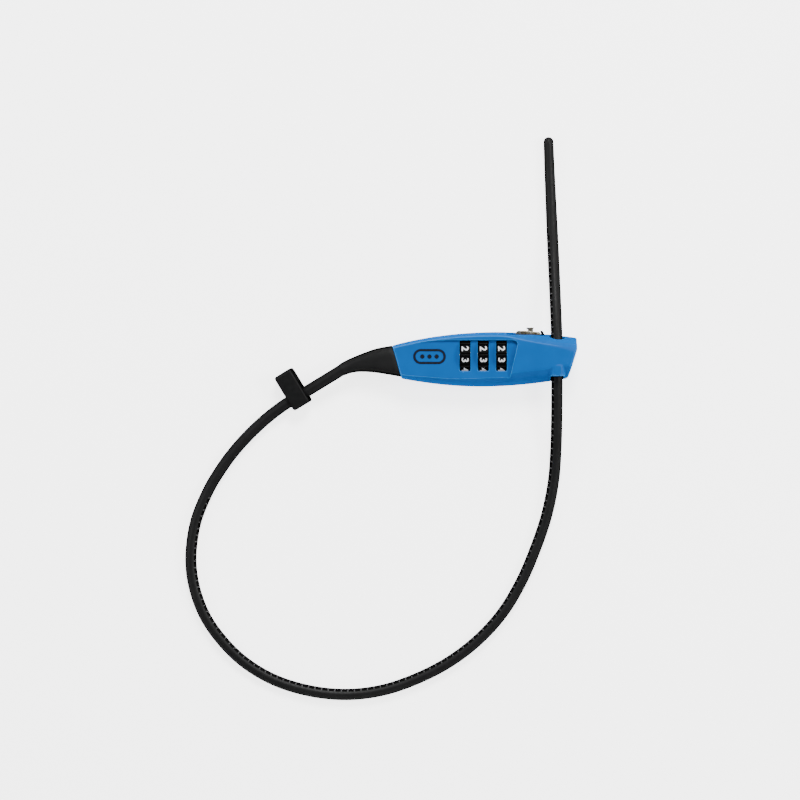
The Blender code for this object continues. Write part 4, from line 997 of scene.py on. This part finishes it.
def release_slider(finish, dark):
    """The plated slider: a plate that follows the body's edge, with a T-shaped thumb rib."""
    (left, right), (inner_end, peak), (z_low, z_high) = (
        span("release_button", axis) for axis in range(3)
    )
    base, top = LANDING_Y + 0.2 * MM, 9.2 * MM
    centre = (left + right) / 2
    plate = [
        (left, base),
        (right - 1.5 * MM, base),
        (right - 1.5 * MM, 8.5 * MM),
        (right - 1.9 * MM, 8.85 * MM),
        (centre + 1.3 * MM, 9.0 * MM),
        (centre - 1.3 * MM, 9.3 * MM),
        (left + 1.0 * MM, 9.45 * MM),
        (left + 0.4 * MM, top),
        (left, 8.6 * MM),
    ]
    body = bevelled(prism(plate, z_low, z_high, "Z"), 0.1 * MM)
    rib_z = (z_low + 0.35 * MM, z_high - 0.35 * MM)
    neck = box(around(centre + 0.15 * MM, 0.95 * MM), (8.8 * MM, peak - 0.3 * MM), rib_z)
    crest = box(around(centre, 1.33 * MM), (peak - 0.6 * MM, peak - 0.03 * MM), rib_z)
    rib = [bevelled(block, 0.08 * MM) for block in (neck, crest)]
    stem_z = around(middle("release_button").z, 1 * MM)
    stem = box(around(centre, 1.4 * MM), (inner_end, base + 0.2 * MM), stem_z)
    above = peak + 1 * MM
    grooves = []
    for i in (-1, 0, 1):
        groove_x = around(centre + i * 0.78 * MM, 0.1 * MM)
        grooves.append(box(groove_x, (peak - 0.2 * MM, above), (z_low, z_high)))
    groove_z = (z_low + 0.6 * MM, z_high + 1 * MM)
    for x, depth in ((left + 0.9 * MM, 0.55), (left + 2.3 * MM, 0.25), (right - 3.2 * MM, 0.2)):
        grooves.append(box(around(x, 0.18 * MM), (top - depth * MM, above), groove_z))
    mesh = carved(body, [*rib, stem], grooves)
    piece = place_piece("release_slider", mesh, finish, "release")
    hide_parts("release_button")

    # painted shade: a black piece stands for the plate's bent right end, dark where it faces away
    # from the light
    tab = [
        (right - 1.45 * MM, 9.4 * MM),
        (right - 0.65 * MM, 9.35 * MM),
        (right + 0.1 * MM, base + 0.1 * MM),
        (right - 0.9 * MM, base + 0.1 * MM),
    ]
    shaded_end = bevelled(prism(tab, z_low + 0.5 * MM, z_high - 0.5 * MM, "Z"), 0.06 * MM)
    new_piece("release_slider_shaded_end", shaded_end, dark, "release")


# ---- strap, boot and clip


def catmull_rom(knots, start, t):
    """The curve through knots, a share t of the way from one knot to the next. Its end knots are
    carried on in a straight line."""
    padded = [2 * knots[0] - knots[1], *knots, 2 * knots[-1] - knots[-2]]
    a, b, c, d = padded[start : start + 4]
    near = 2 * b + (c - a) * t
    far = (2 * a - 5 * b + 4 * c - d) * t**2 + (3 * b - a - 3 * c + d) * t**3
    return (near + far) / 2


def eased(knots, share):
    """A smooth curve through evenly spaced values."""
    place_between = share * (len(knots) - 1)
    start = min(int(place_between), len(knots) - 2)
    return catmull_rom(knots, start, place_between - start)


def fine_route():
    """Closely spaced points on a smooth curve through the route, and lengths along it."""
    points, steps = [Vector(p) for p in STRAP_ROUTE], 40
    fine = []
    for start in range(len(points) - 1):
        for step in range(steps):
            fine.append(catmull_rom(points, start, step / steps))
    fine.append(points[-1])
    lengths = [0.0]
    for a, b in zip(fine, fine[1:]):
        lengths.append(lengths[-1] + (b - a).length)
    return fine, lengths


def point_at(fine, lengths, wanted):
    start = min(bisect_right(lengths, wanted) - 1, len(lengths) - 2)
    share = (wanted - lengths[start]) / (lengths[start + 1] - lengths[start])
    return fine[start].lerp(fine[start + 1], share)


def strap_section(radius, notched):
    """The strap's section as (inward, upward) points. Its rack is cut into the upper inner side:
    a notch has an upright wall and a flat floor where the rest of the strap is round."""
    start, end, wall_points, plain_points = math.radians(57), math.radians(4), 4, 22
    height, floor = radius * math.sin(start), radius * math.sin(end)
    inner, reach = radius * math.cos(start), radius * math.cos(end) - radius * math.cos(start)
    points = []
    for step in range(RACK_POINTS):
        angle = start + (end - start) * (step / (RACK_POINTS - 1))
        if not notched:
            points.append((radius * math.cos(angle), radius * math.sin(angle)))
        elif step < wall_points:
            points.append((inner, height + (floor - height) * step / (wall_points - 1)))
        else:
            share = (step - wall_points + 1) / (RACK_POINTS - wall_points)
            points.append((inner + reach * share, floor))
    for step in range(1, plain_points):
        angle = end - (2 * math.pi - start + end) * step / plain_points
        points.append((radius * math.cos(angle), radius * math.sin(angle)))
    return points


def strap_stations(total):
    """(distance, radius, whether the rack is notched here) at each ring of the strap."""
    step = 1.1 * MM
    stations = [(i * step, STRAP_SKIN, False) for i in range(int(TEETH_START / step))]
    tooth = TEETH_START
    while tooth < TEETH_END:
        stations.append((tooth, STRAP_SKIN, False))
        stations.append((tooth + 0.5 * MM, STRAP_SKIN, False))
        stations.append((tooth + 0.75 * MM, STRAP_SKIN, True))
        stations.append((tooth + TOOTH_PITCH - 0.06 * MM, STRAP_SKIN, True))
        tooth += TOOTH_PITCH
    rest = total - TIP_RADIUS - tooth
    count = int(rest / step)
    for i in range(count + 1):
        radius = STRAP_SKIN + (TIP_RADIUS - STRAP_SKIN) * (i / count)
        stations.append((tooth + rest * (i / count), radius, False))
    for i in range(1, 8):
        angle = math.pi / 2 * i / 7.3  # stops short of the pole, where a ring would have no size
        radius = TIP_RADIUS * math.cos(angle)
        stations.append((total - TIP_RADIUS * (1 - math.sin(angle)), radius, False))
    return stations


def strap_rings(stations, fine, lengths):
    """The strap's sections across its route. Beyond its teeth a low mould line runs along the top."""
    total = lengths[-1]
    ridge_start, ridge_half, ridge_rise = TEETH_END + 2 * MM, 0.12, 0.03
    rings = []
    for distance, radius, notched in stations:
        here = point_at(fine, lengths, distance)
        before = point_at(fine, lengths, max(0, distance - 1 * MM))
        after = point_at(fine, lengths, min(total, distance + 1 * MM))
        along = (after - before).normalized()
        inward = UP.cross(along).normalized()
        upright = along.cross(inward)
        ring = []
        for across, rise in strap_section(radius, notched):
            if distance > ridge_start and rise > 0 and abs(across) < ridge_half * radius:
                rise *= 1.0 + ridge_rise * min(1, (total - distance) / TIP_RADIUS)
            ring.append(here + inward * across + upright * rise)
        rings.append(ring)
    return rings


def strap_cord(finish, notch, crest):
    """The strap, its notches and crests finished apart: the notches darker as painted shade, the
    crests paler as a painted highlight.
    """
    fine, lengths = fine_route()
    total = lengths[-1]
    stations = strap_stations(total)
    rings = strap_rings(stations, fine, lengths)
    mesh = loft(rings)
    mesh.faces.ensure_lookup_table()
    sides = len(rings[0])
    finishes = [finish, notch, crest]
    for i, (near, far) in enumerate(zip(stations, stations[1:])):
        toothed = TEETH_START <= near[0] < TEETH_END
        for j in range(RACK_POINTS - 1):
            if near[2] or far[2]:
                mesh.faces[i * sides + j].material_index = finishes.index(notch)
            elif toothed and j < CREST_FACES:
                mesh.faces[i * sides + j].material_index = finishes.index(crest)
    kinds = [face.material_index for face in mesh.faces]
    piece = new_piece("toothed_strap", mesh, finish, "housing", 28)
    piece.data.materials.append(notch)
    piece.data.materials.append(crest)
    piece.data.polygons.foreach_set("material_index", kinds)
    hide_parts("strap")
    count = round(total / (4 * MM))
    path = [tuple(point_at(fine, lengths, total * i / count)) for i in range(count + 1)]


def strap_boot(finish):
    """The moulded sleeve: squarish where it meets the housing, round where the strap comes out.
    Its sections start parallel to the housing's slanted end and turn to lie across the strap."""
    middle_x = [value * MM for value in (-32.86, -38.5, -43.46, -48.07, -51.55, -53.9)]
    middle_y = [value * MM for value in (-2.2, -2.24, -2.69, -3.46, -4.5, -5.62)]
    half = [value * MM for value in (6.22, 5.28, 4.15, 3.15, 2.6, 2.35)]
    slant = (16.3, 20.0, 24.0, 27.5, 30.0, 31.0)
    squareness = (4.2, 3.6, 3.0, 2.5, 2.1, 2.0)
    count, sides, edge = 48, 64, 0.15 * MM
    core_bore, strap_bore, lip = 1.3 * MM, STRAP_SKIN + 0.05 * MM, 1.2 * MM
    outer, bore = [], []
    for step in range(count + 1):
        share = step / count
        if step in (1, 2, count - 1):  # closer to the ends, to round their edges
            share = 0.5 - 0.5 * math.cos(math.pi * share)
        height = AXIS_Z - (1.9 - 0.2 * share) * MM
        centre = Vector((eased(middle_x, share), eased(middle_y, share), height))
        turn = math.radians(eased(slant, share))
        side = Vector((-math.sin(turn), math.cos(turn), 0))
        from_end = min(share, 1 - share) * BOOT_LENGTH
        inset = edge - math.sqrt(max(0, edge**2 - max(0, edge - from_end) ** 2))
        reach, power = eased(half, share) - inset, eased(squareness, share)
        mouth = strap_bore if (1 - share) * BOOT_LENGTH < lip else core_bore
        ring, hole = [], []
        for i in range(sides):
            angle = 2 * math.pi * i / sides
            c, s = math.cos(angle), math.sin(angle)
            spread = (abs(c) ** power + abs(s) ** power) ** (-1 / power)
            ring.append(centre + side * reach * spread * c + UP * reach * spread * s)
            hole.append(centre + side * mouth * c + UP * mouth * s)
        outer.append(ring)
        bore.append(hole)
    piece = new_piece("boot_sleeve", loft(outer + bore[::-1], True), finish, "housing", 50)
    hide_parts("strap_boot")


def keeper_clip(finish):
    """A block with two bores: the strap runs through one, and the other parks the spare tail."""
    length, width, height = 14.8 * MM, 7.3 * MM, 7.6 * MM
    bore_pitch, countersink = 6.8 * MM, 0.4 * MM
    corner, edge, steps = 1.2 * MM, 0.8 * MM, 5
    centre = Vector(STRAP_ROUTE[2])
    along = (centre - Vector(STRAP_ROUTE[0])).normalized()
    across = along.cross(UP).normalized()
    upright = across.cross(along)
    body_middle = centre + across * (length / 2 - 4.0 * MM)
    rings = []
    ends = [(-1, step) for step in range(steps + 1)] + [(1, step) for step in range(steps, -1, -1)]
    for sign, step in ends:
        angle = math.pi / 2 * step / steps
        inset = edge * (1 - math.sin(angle))
        depth = sign * (width / 2 - edge * (1 - math.cos(angle)))
        a, b = length / 2 - inset, height / 2 - inset
        outline = rounded([(a, b), (-a, b), (-a, -b), (a, -b)], corner, 6)
        rings.append([body_middle + along * depth + across * p.x + upright * p.y for p in outline])
    radius = STRAP_RADIUS + 0.3 * MM
    cuts = []
    for offset in (0, bore_pitch):
        bore = centre + across * offset
        cuts.append(rod(bore - along * width, bore + along * width, radius, 56))
        for sign in (-1, 1):
            mouth = bore + along * sign * width / 2
            inner, outer = mouth - along * sign * countersink, mouth + along * sign * countersink
            cuts.append(rod(inner, outer, radius - 0.05 * MM, 56, radius + 0.75 * MM))
    piece = place_piece("clip_block", carved(loft(rings), [], cuts), finish, "clip", 40)
    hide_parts("keeper_clip")
    return piece


# ---- CAD pieces that stay


def finish_cad_nodes(steel, brass, cover_paint):
    """The inner works and the back cover keep their CAD shapes, some with small bevels."""
    replaced = ("front_housing", "release_button", "strap", "strap_boot", "keeper_clip", *DIALS)
    bevelled_nodes = ("back_cover", "release_carriage", "pawl", "anchor_ferrule", "reset_comb")
    finishes = {"back_cover": cover_paint}
    for number in (1, 2, 3):
        finishes[f"code_ring_{number}"] = brass
    for name, node in frame["nodes"].items():
        if name in replaced:
            continue
        node.data.materials.clear()
        node.data.materials.append(finishes.get(name, steel))
        if name in bevelled_nodes:
            bevel = node.modifiers.new("soft_edges", "BEVEL")
            bevel.width = 0.08 * MM
            bevel.segments = 2
            bevel.limit_method = "ANGLE"


# ---- assembly


def main():
    set_stage()
    strap_black = moulded_black("strap_nylon", 0.006, 0.46)
    # painted shade: the notch floors are nearly black, as they would be in their recesses
    notch_shade_black = moulded_black("strap_notch_shade", 0.0006, 0.7)
    # painted highlight: the tooth crests are a paler grey, with no painted side shade
    crest_highlight_grey = moulded_black("strap_crest_highlight", 0.042, 0.4, upright=1)
    clip_black = moulded_black("clip_plastic", 0.0045, 0.42, 3600)
    clip = keeper_clip(clip_black)
    strap_cord(strap_black, notch_shade_black, crest_highlight_grey)
    strap_boot(moulded_black("boot_rubber", 0.006, 0.58, 3000, 0.01 * MM))

    blue = blue_paint()
    housing(blue)
    panel_mark(print_ink("dark_ink", (0.004, 0.006, 0.012)))

    dial_black = moulded_black("dial_plastic", 0.0012, 0.4, 4000, 0.004 * MM, shine=0.03)
    digit_white = print_ink("digit_white", (0.72, 0.72, 0.75))
    flat_digits = [read_flat(flat_digit(digit)) for digit in range(DIAL_POSITIONS)]
    for number, x in enumerate(DIAL_X, 1):
        dial_wheel(number, x, dial_black)
        dial_digits(number, x, flat_digits, digit_white)

    release_slider(aged_nickel(), dial_black)
    steel = turned_metal("inner_steel", (0.52, 0.52, 0.53), 0.34)
    brass = turned_metal("inner_brass", (0.30, 0.22, 0.09), 0.32)
    finish_cad_nodes(steel, brass, blue)


main()
